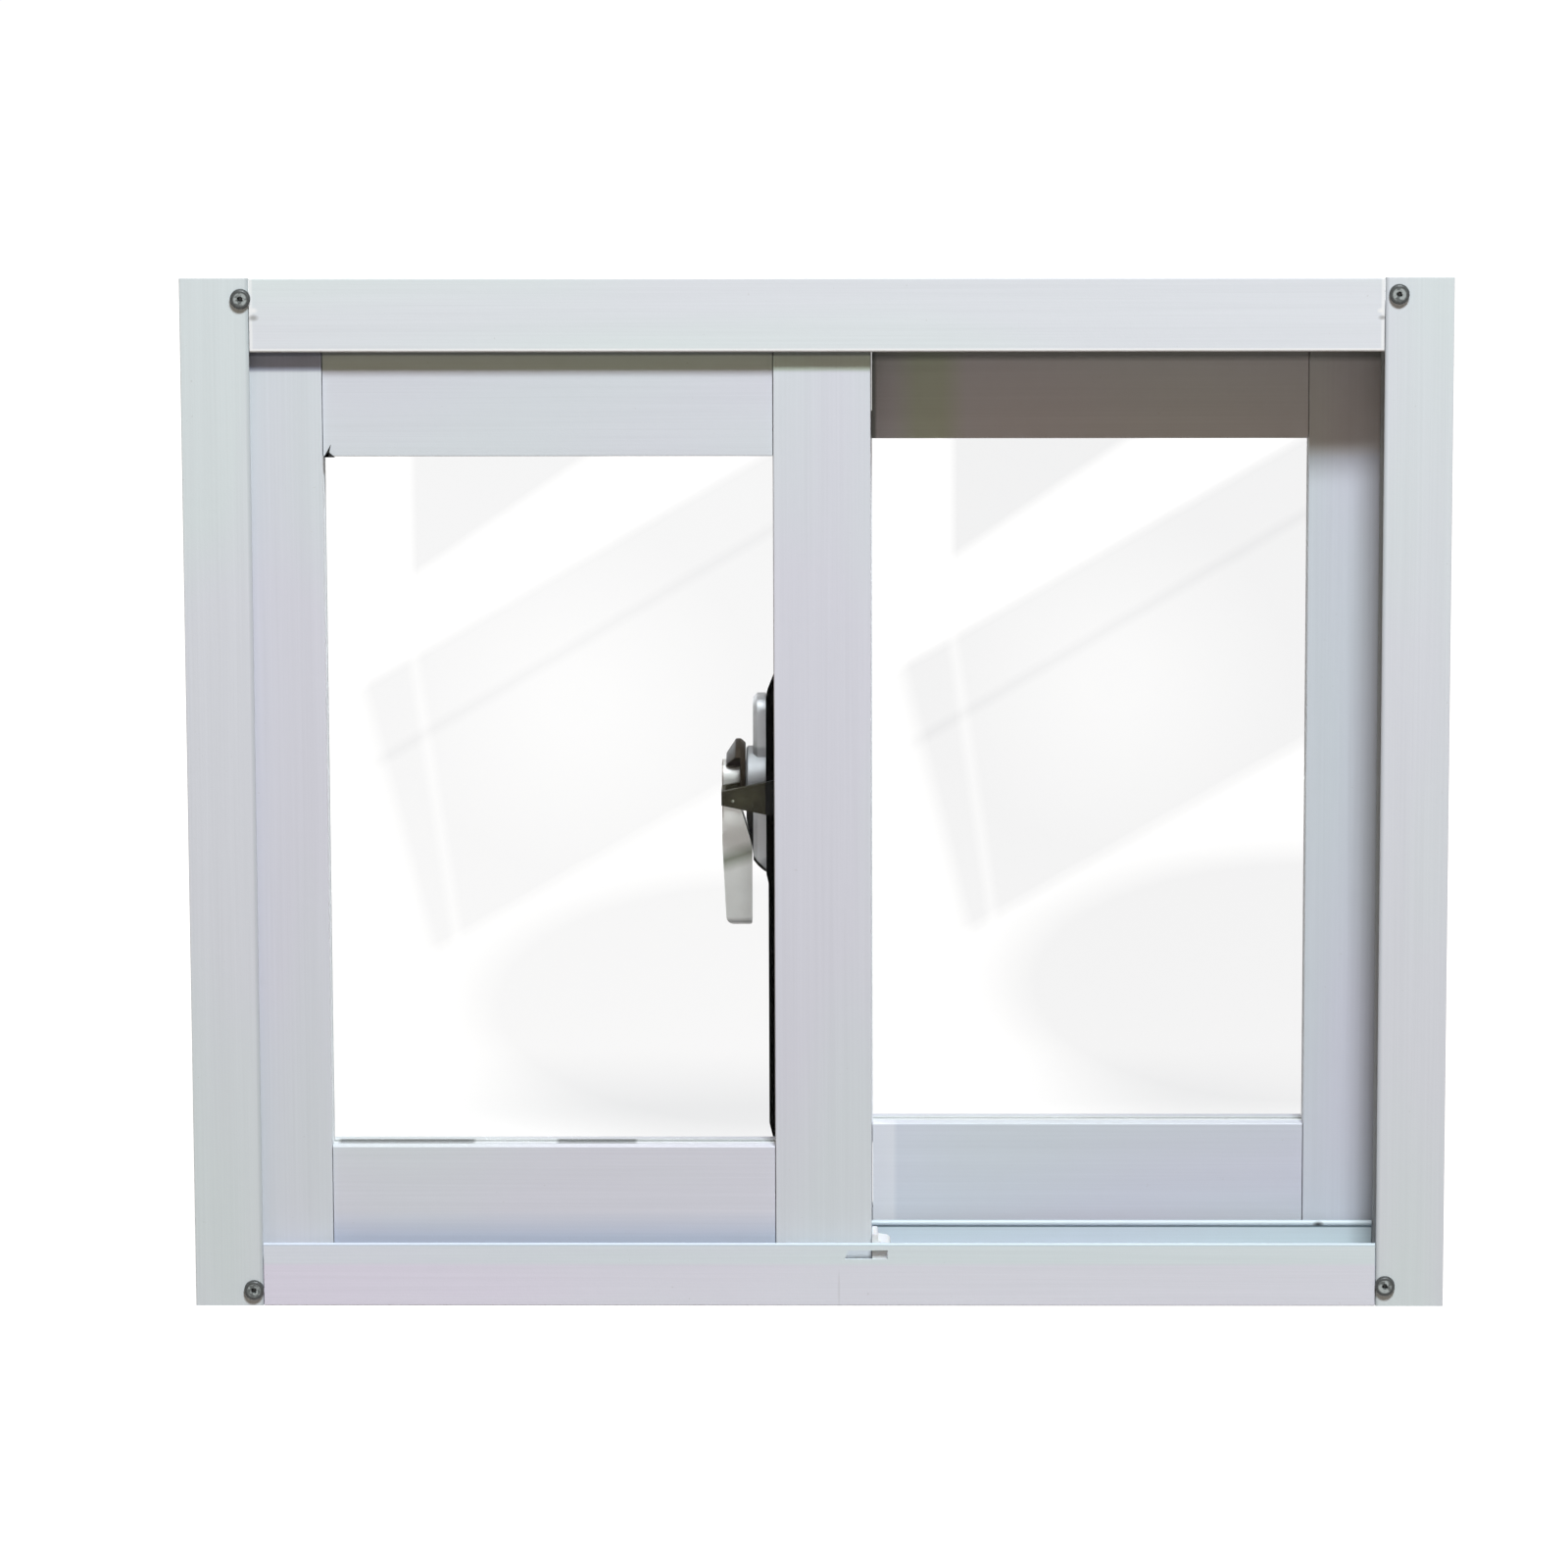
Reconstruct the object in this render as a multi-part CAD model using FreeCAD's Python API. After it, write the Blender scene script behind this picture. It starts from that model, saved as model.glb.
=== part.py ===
import FreeCAD, Part

import math
import os

from FreeCAD import Vector

# A sliding basement window: a white aluminium frame with two tracks and two glazed sashes.
# X runs to the right as seen from outside, Y into the room and Z up. While it is built, Y is
# the depth behind the outside face of the frame. Each piece is then moved so that the origin
# lies under the middle of the sill. All sizes are in millimetres.

# Overall size
FRAME_WIDTH = 600.0
FRAME_HEIGHT = 500.0

# Frame extrusions: the faces seen from outside, and how far the floors of the tracks lie
# inside the frame's edge. The head and the jambs have a flange there, and the sill a box.
FRAME_WALL = 1.4
JAMB_FACE = 32.5
JAMB_WEB = 19.5
HEAD_FACE = 35.2
HEAD_WEB = 14.0
SILL_FACE = 31.0
SILL_BOX = 14.0
REAR_TRACK_STEP = 1.8
MIDDLE_LIP_RISE = 1.4
REAR_LIP_RISE = 0.5
LIP_BEAD = 1.1
MIDDLE_BEAD = 1.4
CORNER_GAP = 0.3
EDGE_RADIUS = 0.5
PORT_RADIUS = 1.7
PORT_WALL = 1.2
PORT_MOUTH = 60.0

# Tracks
LIP_TO_SASH = 6.1
MIDDLE_TO_SASH = 5.8
RUNNING_RAIL_WALL = 1.6
RUNNING_BEAD = 1.4
RAIL_ENGAGEMENT = 5.0

# Sashes
SASH_DEPTH = 25.0
SASH_WALL = 1.3
SASH_FLOOR_GAP = 6.0
SASH_IN_HEAD = 9.2
STILE_WIDTH = 46.0
RAIL_SETBACK = 1.6
RAIL_CHAMBER = 26.0
TOP_RAIL_FACE = 51.3
BOTTOM_RAIL_FACE = 45.7
CLOSED_GAP = 0.5
MEETING_CENTRE = 2.3
RAIL_GAP = 0.35

# Glass and its gasket
GLASS = 5.0
GASKET_SIDE = 2.0
GASKET_BASE = 2.0
GASKET_PROUD = 0.35
GASKET_FIT = 0.1
GROOVE_DEPTH = 11.0

# Interlock hooks on the meeting stiles
HOOK_WALL = 1.4
HOOK_OFFSET = 5.0
HOOK_PLAY = 1.2
HOOK_TIP_GAP = 0.6
HOOK_END_GAP = 4.0

# Rollers
WHEEL_GROOVE_RADIUS = 8.0
WHEEL_FLANGE = 1.5
WHEEL_WIDTH = 6.0
AXLE_RADIUS = 1.5
HOUSING_LENGTH = 38.0
HOUSING_DROP = 18.0
HOUSING_PLAY = 0.3
ROLLER_INSET = 34.0
ROLLER_PLAY = 0.4
RUNNING_PLAY = 0.1

# Weather pile
PILE_WIDTH = 5.0
PILE_BACKING = 1.0
PILE_BACKING_WIDTH = 7.0
PILE_PLAY = 0.3
PILE_EDGE = 1.2

# Crescent lock: its base on the rear meeting stile
LOCK_HEIGHT = 249.0
PACKING_THICKNESS = 4.4
PACKING_DEPTH = 15.0
PACKING_ABOVE = 50.0
PACKING_TAPER = 10.5
PACKING_BEND = 14.0
PACKING_STEP = 1.0
BASE_THICKNESS = 6.2
BASE_WIDTH = 19.0
BASE_ABOVE = 40.5
BASE_BELOW = 47.0
BASE_SLANT = 7.0
BASE_EASE = 2.0
HUB_RADIUS = 14.5
HUB_THICKNESS = 3.4
STOP_WIDTH = 10.0
STOP_START = 20.0
STOP_END = 33.0
STOP_TOE = 0.6
PIVOT_RADIUS = 3.0
PIVOT_COVER = 1.5

# Crescent cam, turned about the pivot
CAM_GAP = 0.3
CAM_WEB = 2.3
CAM_RADIUS = 18.0
CAM_INNER_RADIUS = 13.4
CAM_CORE_RADIUS = 8.0
CAM_CREST = 4.6
CAM_START = 80.0
CAM_WEDGE_END = 140.0
CAM_END = 205.0

# Lever
LEVER_RADIUS = 8.0
LEVER_THICKNESS = 8.7
LEVER_LENGTH = 73.0
LEVER_NECK = 14.0
LEVER_SHOULDER = 32.0
LEVER_BEND = 72.0
LEVER_GRIP_THICKNESS = 13.2
LEVER_GRIP_WIDTH = 11.0
LEVER_TIP_RADIUS = 4.8
LEVER_LEAN = 1.0

# Keeper on the front meeting stile
KEEPER_THICKNESS = 3.0
KEEPER_ROOT_HEIGHT = 17.7
KEEPER_TIP_HEIGHT = 6.2
KEEPER_FLANGE = 12.0
KEEPER_WALL = 1.8
KEEPER_BAR = 2.5
KEEPER_DROP = 6.1
KEEPER_ROUND = 1.2

# Corner guide of the front sash, and the drain slot of the sill
GUIDE_WIDTH = 8.8
GUIDE_POST = 2.6
GUIDE_RISE = 3.8
GUIDE_DROP = 0.6
SLOT_LEFT = 12.4
SLOT_LENGTH = 20.6
SLOT_LEAN = 1.8
SLOT_DROP = 3.5
SLOT_HEIGHT = 4.4

# Places that follow from these sizes
GROOVE_WIDTH = GLASS + 2 * GASKET_SIDE
RAIL_DEPTH = SASH_DEPTH - 2 * RAIL_SETBACK
SASH_GAP = FRAME_WALL + 2 * MIDDLE_TO_SASH
TRACK_PITCH = SASH_DEPTH + SASH_GAP
FRAME_DEPTH = TRACK_PITCH + SASH_DEPTH + 2 * (FRAME_WALL + LIP_TO_SASH)
FRONT_FACE = FRAME_WALL + LIP_TO_SASH
REAR_FACE = FRONT_FACE + TRACK_PITCH
FRONT_TRACK = FRONT_FACE + SASH_DEPTH / 2
REAR_TRACK = REAR_FACE + SASH_DEPTH / 2
MIDDLE_LIP = (FRAME_DEPTH - FRAME_WALL) / 2
JAMB_REACH = FRAME_WIDTH / 2
DAYLIGHT = JAMB_REACH - JAMB_FACE
WEB_FACE = JAMB_REACH - JAMB_WEB
FLANGE_FOOT = FRAME_HEIGHT - HEAD_WEB + FRAME_WALL
STILE_EDGE = WEB_FACE - CLOSED_GAP
HEAD_LIP = FRAME_HEIGHT - HEAD_FACE
SASH_BOTTOM = SILL_BOX + SASH_FLOOR_GAP
SASH_TOP = HEAD_LIP + SASH_IN_HEAD
RUNNING_RAIL_TOP = SASH_BOTTOM + RAIL_ENGAGEMENT
GLASS_BOTTOM = SILL_FACE + BOTTOM_RAIL_FACE
GLASS_TOP = HEAD_LIP - TOP_RAIL_FACE
FRONT_MEETING_EDGE = MEETING_CENTRE + STILE_WIDTH / 2
REAR_MEETING_EDGE = MEETING_CENTRE - STILE_WIDTH / 2

nodes = {}


# Shapes

def across(depth, reach):
    """A point of an extrusion's section, which is drawn in the plane X = 0."""
    return Vector(0, depth, reach)


def from_front(x, z):
    return Vector(x, 0, z)


def from_above(x, y):
    return Vector(x, y, 0)


def outline(points, place=across):
    """A closed wire through corners given as (u, v) or, where one is rounded, (u, v, radius)."""
    corners = [place(*point[:2]) for point in points]
    radii = [point[2] if len(point) > 2 else 0 for point in points]
    befores = corners[-1:] + corners[:-1]
    afters = corners[1:] + corners[:1]
    arcs = []
    spans = []
    for before, corner, after, radius in zip(befores, corners, afters, radii):
        if not radius:
            spans.append((corner, corner))
            continue
        back = (before - corner).normalize()
        ahead = (after - corner).normalize()
        half = back.getAngle(ahead) / 2
        inward = (back + ahead).normalize()
        start = corner + back * (radius / math.tan(half))
        finish = corner + ahead * (radius / math.tan(half))
        middle = corner + inward * (radius / math.sin(half) - radius)
        arcs.append(Part.Arc(start, middle, finish).toShape())
        spans.append((start, finish))
    nexts = spans[1:] + spans[:1]
    lines = [Part.makeLine(leave, arrive) for (_, leave), (arrive, _) in zip(spans, nexts)]
    return Part.Wire(Part.sortEdges(arcs + lines)[0])


def face_of(points, place=across):
    return Part.Face(outline(points, place))


def disc(depth, reach, radius):
    """A round bead of an extrusion's section."""
    return Part.Face(Part.Wire(Part.makeCircle(radius, across(depth, reach), Vector(1, 0, 0))))


def section(points, hollows=(), beads=()):
    """The cross-section of an extrusion, with its hollows and its beads."""
    face = face_of(points)
    for hollow in hollows:
        face = face.cut(face_of(hollow))
    return Part.makeCompound([face] + [disc(*bead) for bead in beads])


def extruded(blank, travel):
    """The section and its beads pushed out as one solid."""
    walls, *beads = blank.extrude(travel).Solids
    return walls.fuse(beads).removeSplitter() if beads else walls


def along_x(blank, start, end):
    """A section laid out as (depth, height), extruded from start to end along X."""
    return extruded(moved(blank, x=start), Vector(end - start, 0, 0))


def along_z(blank, start, end):
    """A section laid out as (depth, X), extruded from start to end along Z."""
    turned = blank.copy()
    turned.rotate(Vector(0, 0, 0), Vector(0, 1, 0), 90)
    return extruded(moved(turned, z=start), Vector(0, 0, end - start))


def block(low, high):
    """A block between two opposite corners."""
    size = [top - bottom for bottom, top in zip(low, high)]
    return Part.makeBox(*size, Vector(*low))


def moved(shape, x=0.0, y=0.0, z=0.0):
    copy = shape.copy()
    copy.translate(Vector(x, y, z))
    return copy


def mirrored_x(shape):
    return shape.mirror(Vector(0, 0, 0), Vector(1, 0, 0))


def mirrored_z(shape):
    return shape.mirror(Vector(0, 0, FRAME_HEIGHT / 2), Vector(0, 0, 1))


def cylinder_x(radius, start, end, depth, height):
    return Part.makeCylinder(radius, end - start, Vector(start, depth, height), Vector(1, 0, 0))


# Frame

def lip_beads(front, middle, rear):
    """The round beads that end a frame member's lips at the outside, in the middle and at the room."""
    tips = [(LIP_BEAD, front - LIP_BEAD, LIP_BEAD), (FRAME_DEPTH - LIP_BEAD, rear - LIP_BEAD, LIP_BEAD)]
    return tips + [(MIDDLE_LIP + FRAME_WALL / 2, middle - MIDDLE_BEAD, MIDDLE_BEAD)]


def flanged_section(web, face):
    """The section of the head or of a jamb: a web across the frame's depth, which carries three lips.

    The lip at the outside face runs on past the web as a flange that covers the wall's joint.
    """
    wall = FRAME_WALL
    mid = MIDDLE_LIP
    back = FRAME_DEPTH
    tip = face - LIP_BEAD
    points = [(0, 0, EDGE_RADIUS), (wall, 0, EDGE_RADIUS), (wall, web - wall)]
    points += [(back, web - wall, EDGE_RADIUS), (back, tip), (back - wall, tip), (back - wall, web)]
    points += [(mid + wall, web)]
    points += [(mid + wall, face - MIDDLE_BEAD), (mid, face - MIDDLE_BEAD), (mid, web)]
    points += [(wall, web), (wall, tip), (0, tip)]
    return section(points, beads=lip_beads(face, face, face))


def sill_section():
    """The sill: a hollow box that carries three lips, and a running rail for each sash.

    Its floor is higher in the rear track than in the front one.
    """
    front = SILL_FACE
    middle = SILL_FACE + MIDDLE_LIP_RISE
    rear = SILL_FACE + REAR_LIP_RISE
    floor = SILL_BOX + REAR_TRACK_STEP
    wall = FRAME_WALL
    mid = MIDDLE_LIP
    back = FRAME_DEPTH
    points = [(0, 0, EDGE_RADIUS), (back, 0, EDGE_RADIUS)]
    points += [(back, rear - LIP_BEAD), (back - wall, rear - LIP_BEAD), (back - wall, floor)]
    points += rail_points(REAR_TRACK, RUNNING_RAIL_TOP + REAR_TRACK_STEP, floor)
    points += [(mid + wall, floor), (mid + wall, middle - MIDDLE_BEAD)]
    points += [(mid, middle - MIDDLE_BEAD), (mid, SILL_BOX)]
    points += rail_points(FRONT_TRACK, RUNNING_RAIL_TOP, SILL_BOX)
    points += [(wall, SILL_BOX), (wall, front - LIP_BEAD), (0, front - LIP_BEAD)]
    front_hollow = [(wall, wall), (mid, wall), (mid, SILL_BOX - wall), (wall, SILL_BOX - wall)]
    rear_hollow = [(mid + wall, wall), (back - wall, wall)]
    rear_hollow += [(back - wall, floor - wall), (mid + wall, floor - wall)]
    beads = lip_beads(front, middle, rear)
    beads += [(FRONT_TRACK, RUNNING_RAIL_TOP - RUNNING_BEAD, RUNNING_BEAD)]
    beads += [(REAR_TRACK, RUNNING_RAIL_TOP + REAR_TRACK_STEP - RUNNING_BEAD, RUNNING_BEAD)]
    return section(points, (front_hollow, rear_hollow), beads)


def rail_points(track, top, floor):
    """The outline of a running rail that stands on the floor of a track, back to front."""
    half = RUNNING_RAIL_WALL / 2
    tip = top - RUNNING_BEAD
    return [(track + half, floor), (track + half, tip), (track - half, tip), (track - half, floor)]


def screw_port(depth, reach):
    """The open ring on a member's wall that a corner screw bites in; its mouth faces away from the wall."""
    outer = PORT_RADIUS + PORT_WALL
    mouth = math.radians(PORT_MOUTH / 2)

    def rim(radius, angle):
        return across(depth + radius * math.sin(angle), reach + radius * math.cos(angle))

    def ring(radius, first, last):
        return Part.Arc(rim(radius, first), rim(radius, math.pi), rim(radius, last)).toShape()

    edges = [ring(outer, mouth, -mouth), Part.makeLine(rim(outer, -mouth), rim(PORT_RADIUS, -mouth))]
    edges += [ring(PORT_RADIUS, -mouth, mouth), Part.makeLine(rim(PORT_RADIUS, mouth), rim(outer, mouth))]
    return Part.Face(Part.Wire(edges))


def with_ports(member, ends, depths, wall_face):
    """A horizontal member with a screw port at each depth, standing on the wall that ends at wall_face."""
    reach = wall_face + PORT_RADIUS + PORT_WALL / 2
    rings = [Part.makeCompound([screw_port(depth, reach)]) for depth in depths]
    ports = [along_x(ring, *ends) for ring in rings]
    return member.fuse(ports).removeSplitter()


def corner_slots():
    """The space that the three lips of both jambs take, with a joint's clearance round it."""
    front = 2 * LIP_BEAD + CORNER_GAP
    middle = MIDDLE_LIP + FRAME_WALL / 2
    reach = MIDDLE_BEAD + CORNER_GAP
    slots = []
    for start, end in ((-1, front), (middle - reach, middle + reach), (FRAME_DEPTH - front, FRAME_DEPTH + 1)):
        slot = block((DAYLIGHT - CORNER_GAP, start, -1), (JAMB_REACH, end, FRAME_HEIGHT + 1))
        slots += [slot, mirrored_x(slot)]
    return slots


def make_jambs():
    """The jambs, cut back behind the flange to the top of the head's web."""
    jamb = moved(along_z(flanged_section(JAMB_WEB, JAMB_FACE), 0, FRAME_HEIGHT), x=-JAMB_REACH)
    web = block((-JAMB_REACH, FRAME_WALL, FLANGE_FOOT), (-WEB_FACE, FRAME_DEPTH, FRAME_HEIGHT))
    lips = block((-WEB_FACE, 2 * LIP_BEAD, FLANGE_FOOT), (1 - DAYLIGHT, FRAME_DEPTH, FRAME_HEIGHT))
    jamb = jamb.cut([web, lips])
    nodes["jamb_left"] = jamb
    nodes["jamb_right"] = mirrored_x(jamb)


def make_head_and_sill():
    """The head and the sill, which fit between the jambs' webs and round the jambs' lips."""
    ends = (-WEB_FACE + CORNER_GAP, WEB_FACE - CORNER_GAP)
    beside_lip = 2 * LIP_BEAD + CORNER_GAP + PORT_RADIUS
    head = along_x(flanged_section(HEAD_WEB, HEAD_FACE), *ends)
    head = with_ports(head, ends, (beside_lip, FRAME_DEPTH - beside_lip), HEAD_WEB)
    nodes["head"] = mirrored_z(head).cut(corner_slots())

    sill = with_ports(along_x(sill_section(), *ends), ends, (FRONT_TRACK, REAR_TRACK), FRAME_WALL)
    slot_top = SILL_FACE - SLOT_DROP
    slot_end = SLOT_LEFT + SLOT_LENGTH
    slot = [(SLOT_LEFT, slot_top - SLOT_HEIGHT), (slot_end, slot_top - SLOT_HEIGHT), (slot_end, slot_top)]
    slot += [(SLOT_LEFT + SLOT_LEAN, slot_top)]
    slot = face_of(slot, from_front).extrude(Vector(0, LIP_TO_SASH, 0))
    nodes["sill"] = sill.cut(corner_slots() + [slot])


# Sashes

def stile_section():
    """A hollow stile: its outer edge at reach 0 and the glazing groove at its inner edge."""
    wall = SASH_WALL
    far = SASH_DEPTH
    leg = (SASH_DEPTH - GROOVE_WIDTH) / 2
    floor = STILE_WIDTH - GROOVE_DEPTH
    tip = STILE_WIDTH - wall
    points = [(0, 0, EDGE_RADIUS), (far, 0, EDGE_RADIUS)]
    points += [(far, STILE_WIDTH, EDGE_RADIUS), (far - leg, STILE_WIDTH), (far - leg, floor)]
    points += [(leg, floor), (leg, STILE_WIDTH), (0, STILE_WIDTH, EDGE_RADIUS)]
    hollow = [(wall, wall), (far - wall, wall), (far - wall, tip), (far - leg + wall, tip)]
    hollow += [(far - leg + wall, floor - wall), (leg - wall, floor - wall), (leg - wall, tip), (wall, tip)]
    return section(points, (hollow,))


def rail_section(reach):
    """A rail: an open chamber at its outer edge and the glazing groove at the other."""
    wall = SASH_WALL
    far = RAIL_DEPTH
    leg = (RAIL_DEPTH - GROOVE_WIDTH) / 2
    floor = reach - GROOVE_DEPTH
    tip = reach - wall
    points = [(0, 0), (wall, 0), (wall, RAIL_CHAMBER), (far - wall, RAIL_CHAMBER), (far - wall, 0), (far, 0)]
    points += [(far, reach, EDGE_RADIUS), (far - leg, reach), (far - leg, floor)]
    points += [(leg, floor), (leg, reach), (0, reach, EDGE_RADIUS)]
    base = RAIL_CHAMBER + wall
    hollow = [(wall, base), (far - wall, base), (far - wall, tip), (far - leg + wall, tip)]
    hollow += [(far - leg + wall, floor - wall), (leg - wall, floor - wall), (leg - wall, tip), (wall, tip)]
    return section(points, (hollow,))


def interlock(face_depth, side):
    """The hook on a meeting stile; side is 1 behind the front stile and -1 before the rear one."""
    reach = (SASH_GAP + 2 * HOOK_WALL + HOOK_PLAY) / 2
    turn = 2 * HOOK_OFFSET - HOOK_WALL - HOOK_TIP_GAP
    end = face_depth + side * reach
    inside = end - side * HOOK_WALL
    outer = MEETING_CENTRE + side * HOOK_OFFSET
    inner = outer - side * HOOK_WALL
    tip = outer - side * turn
    points = [(face_depth, outer), (end, outer), (end, tip)]
    points += [(inside, tip), (inside, inner), (face_depth, inner)]
    return along_z(section(points), SILL_FACE + MIDDLE_LIP_RISE + HOOK_END_GAP, HEAD_LIP - HOOK_END_GAP)


def gasket_and_glass(left, right, bottom, top, middle):
    """The glass in its channel gasket, for a glazed opening centred on the depth middle."""
    def slab(half, spread):
        low = (left - spread, middle - half, bottom - spread)
        high = (right + spread, middle + half, top + spread)
        return block(low, high)

    outer = slab(GROOVE_WIDTH / 2 - GASKET_FIT, GROOVE_DEPTH - GASKET_FIT)
    daylight = slab(GROOVE_WIDTH, -GASKET_PROUD)
    pane_edge = GROOVE_DEPTH - GASKET_FIT - GASKET_BASE
    pocket = slab(GLASS / 2 + GASKET_FIT / 2, pane_edge)
    pane = slab(GLASS / 2, pane_edge - GASKET_FIT)
    return outer.cut([daylight, pocket]), pane


def roller(x, track, lift):
    """One roller: its wheel on the running rail and its housing in the rail's chamber."""
    axle = RUNNING_RAIL_TOP + lift + RUNNING_PLAY + WHEEL_GROOVE_RADIUS
    ceiling = SASH_BOTTOM + lift + RAIL_CHAMBER - RUNNING_PLAY
    housing_width = RAIL_DEPTH - 2 * SASH_WALL - 2 * HOUSING_PLAY
    half = WHEEL_WIDTH / 2
    flange = WHEEL_GROOVE_RADIUS + WHEEL_FLANGE
    rim = [(-half, 0), (-half, flange), (-RUNNING_BEAD / 2, WHEEL_GROOVE_RADIUS)]
    rim += [(RUNNING_BEAD / 2, WHEEL_GROOVE_RADIUS), (half, flange), (half, 0)]
    wheel = face_of(rim).revolve(Vector(0, 0, 0), Vector(0, 1, 0), 360)
    pin = Part.makeCylinder(AXLE_RADIUS, housing_width, Vector(0, -housing_width / 2, 0), Vector(0, 1, 0))
    wheel = moved(wheel.fuse(pin), x, track, axle)

    length = HOUSING_LENGTH / 2
    width = housing_width / 2
    low = ceiling - HOUSING_DROP
    side = [(x - length, low, 2), (x + length, low, 2), (x + length, ceiling), (x - length, ceiling)]
    housing = moved(face_of(side, from_front).extrude(Vector(0, housing_width, 0)), y=track - width)
    room = flange + 2 * ROLLER_PLAY
    slot_half = half + ROLLER_PLAY
    slot = block((x - room, track - slot_half, low - 1), (x + room, track + slot_half, ceiling - ROLLER_PLAY))
    start = Vector(x, track - width - 1, axle)
    bore = Part.makeCylinder(AXLE_RADIUS + RUNNING_PLAY, housing_width + 2, start, Vector(0, 1, 0))
    return wheel, housing.cut([slot, bore])


def pile_strip(face_depth, lip_depth, start, end, level, upright=False):
    """A weather pile on a sash face, brushing the lip at lip_depth."""
    side = math.copysign(1, lip_depth - face_depth)
    back = face_depth + side * GASKET_FIT
    base = back + side * PILE_BACKING
    tip = lip_depth - side * PILE_PLAY
    wide = PILE_BACKING_WIDTH / 2
    narrow = PILE_WIDTH / 2
    points = [(back, level - wide), (base, level - wide), (base, level - narrow), (tip, level - narrow)]
    points += [(tip, level + narrow), (base, level + narrow), (base, level + wide), (back, level + wide)]
    run = along_z if upright else along_x
    return run(section(points), start, end)


def sash_piles(face_depth, outer_edge, left, right, bottom, top):
    """Six strips of pile: at both faces of the outer stile and of both rails."""
    outer_overhang = 2 * LIP_BEAD
    middle_overhang = MIDDLE_BEAD - FRAME_WALL / 2
    lips = (outer_overhang, MIDDLE_LIP - middle_overhang)
    if face_depth > MIDDLE_LIP:
        lips = (MIDDLE_LIP + FRAME_WALL + middle_overhang, FRAME_DEPTH - outer_overhang)
    half = PILE_BACKING_WIDTH / 2
    strips = []
    for face, lip in zip((face_depth + RAIL_SETBACK, face_depth + SASH_DEPTH - RAIL_SETBACK), lips):
        for level in (bottom + PILE_EDGE + half, top - PILE_EDGE - half):
            strips.append(pile_strip(face, lip, left + PILE_EDGE, right - PILE_EDGE, level))
    level = outer_edge - math.copysign(PILE_EDGE + half, outer_edge)
    start = SILL_FACE + MIDDLE_LIP_RISE + HOOK_END_GAP
    for face, lip in zip((face_depth, face_depth + SASH_DEPTH), lips):
        strips.append(pile_strip(face, lip, start, HEAD_LIP - HOOK_END_GAP, level, upright=True))
    return strips


def make_sash(name, side, face_depth, lift):
    """A glazed sash whose outer stile is on the left (side -1) or on the right (side 1)."""
    middle = face_depth + SASH_DEPTH / 2
    bottom = SASH_BOTTOM + lift
    top = SASH_TOP + lift
    outer_edge = side * STILE_EDGE
    meeting_edge = MEETING_CENTRE - side * STILE_WIDTH / 2

    stile = moved(along_z(stile_section(), bottom, top), y=face_depth)
    notch = RUNNING_BEAD + 2 * ROLLER_PLAY
    notch_top = RUNNING_RAIL_TOP + lift + 2 * ROLLER_PLAY
    stile = stile.cut(block((-1, middle - notch, 0), (STILE_WIDTH + 1, middle + notch, notch_top)))
    if side < 0:
        outer, meeting = stile, mirrored_x(stile)
        lock_hook = interlock(face_depth + SASH_DEPTH, 1)
    else:
        outer, meeting = mirrored_x(stile), stile
        lock_hook = interlock(face_depth, -1)
    nodes[name + "_outer_stile"] = moved(outer, x=outer_edge)
    nodes[name + "_meeting_stile"] = moved(meeting, x=meeting_edge).fuse(lock_hook).removeSplitter()

    left, right = sorted((outer_edge - side * STILE_WIDTH, meeting_edge + side * STILE_WIDTH))
    glass_bottom = GLASS_BOTTOM + lift
    glass_top = GLASS_TOP + lift
    ends = (left + RAIL_GAP, right - RAIL_GAP)
    low_rail = along_x(rail_section(glass_bottom - bottom), *ends)
    nodes[name + "_bottom_rail"] = moved(low_rail, y=face_depth + RAIL_SETBACK, z=bottom)
    top_rail = mirrored_z(along_x(rail_section(top - glass_top), *ends))
    nodes[name + "_top_rail"] = moved(top_rail, y=face_depth + RAIL_SETBACK, z=top - FRAME_HEIGHT)

    gasket, pane = gasket_and_glass(left, right, glass_bottom, glass_top, middle)
    nodes[name + "_glazing_gasket"] = gasket
    nodes[name + "_glass"] = pane

    wheels, housings = zip(*[roller(x, middle, lift) for x in (left + ROLLER_INSET, right - ROLLER_INSET)])
    nodes[name + "_roller_wheels"] = Part.makeCompound(wheels)
    nodes[name + "_roller_housings"] = Part.makeCompound(housings)
    strips = sash_piles(face_depth, outer_edge, left, right, bottom, top)
    nodes[name + "_weather_pile"] = Part.makeCompound(strips)


def make_corner_guide():
    """The plastic guide beside the lower end of the front meeting stile: a post with a toe."""
    left = FRONT_MEETING_EDGE + CORNER_GAP
    right = left + GUIDE_WIDTH
    floor = SILL_BOX + CORNER_GAP
    top = SILL_FACE + GUIDE_RISE
    toe = SILL_FACE - GUIDE_DROP
    side = [(left, floor), (right, floor), (right, toe, GUIDE_POST), (left + GUIDE_POST, toe + 1, 1)]
    side += [(left + GUIDE_POST, top, 1), (left, top)]
    start = 2 * LIP_BEAD + CORNER_GAP
    end = FRONT_TRACK - RUNNING_BEAD - CORNER_GAP
    guide = face_of(side, from_front).extrude(Vector(0, end - start, 0))
    nodes["front_sash_corner_guide"] = moved(guide, y=start)


# Lock

def turned_sector(points, start, end, axis):
    """A profile given as (x, radius), turned about the lock's pivot from start to end degrees.

    Angles run from the room side over the top towards the outside.
    """
    profile = face_of(points, lambda x, radius: Vector(x, radius, 0))
    profile.rotate(Vector(0, 0, 0), Vector(1, 0, 0), start)
    solid = profile.revolve(Vector(0, 0, 0), Vector(1, 0, 0), end - start)
    return moved(solid, y=axis, z=LOCK_HEIGHT)


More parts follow.
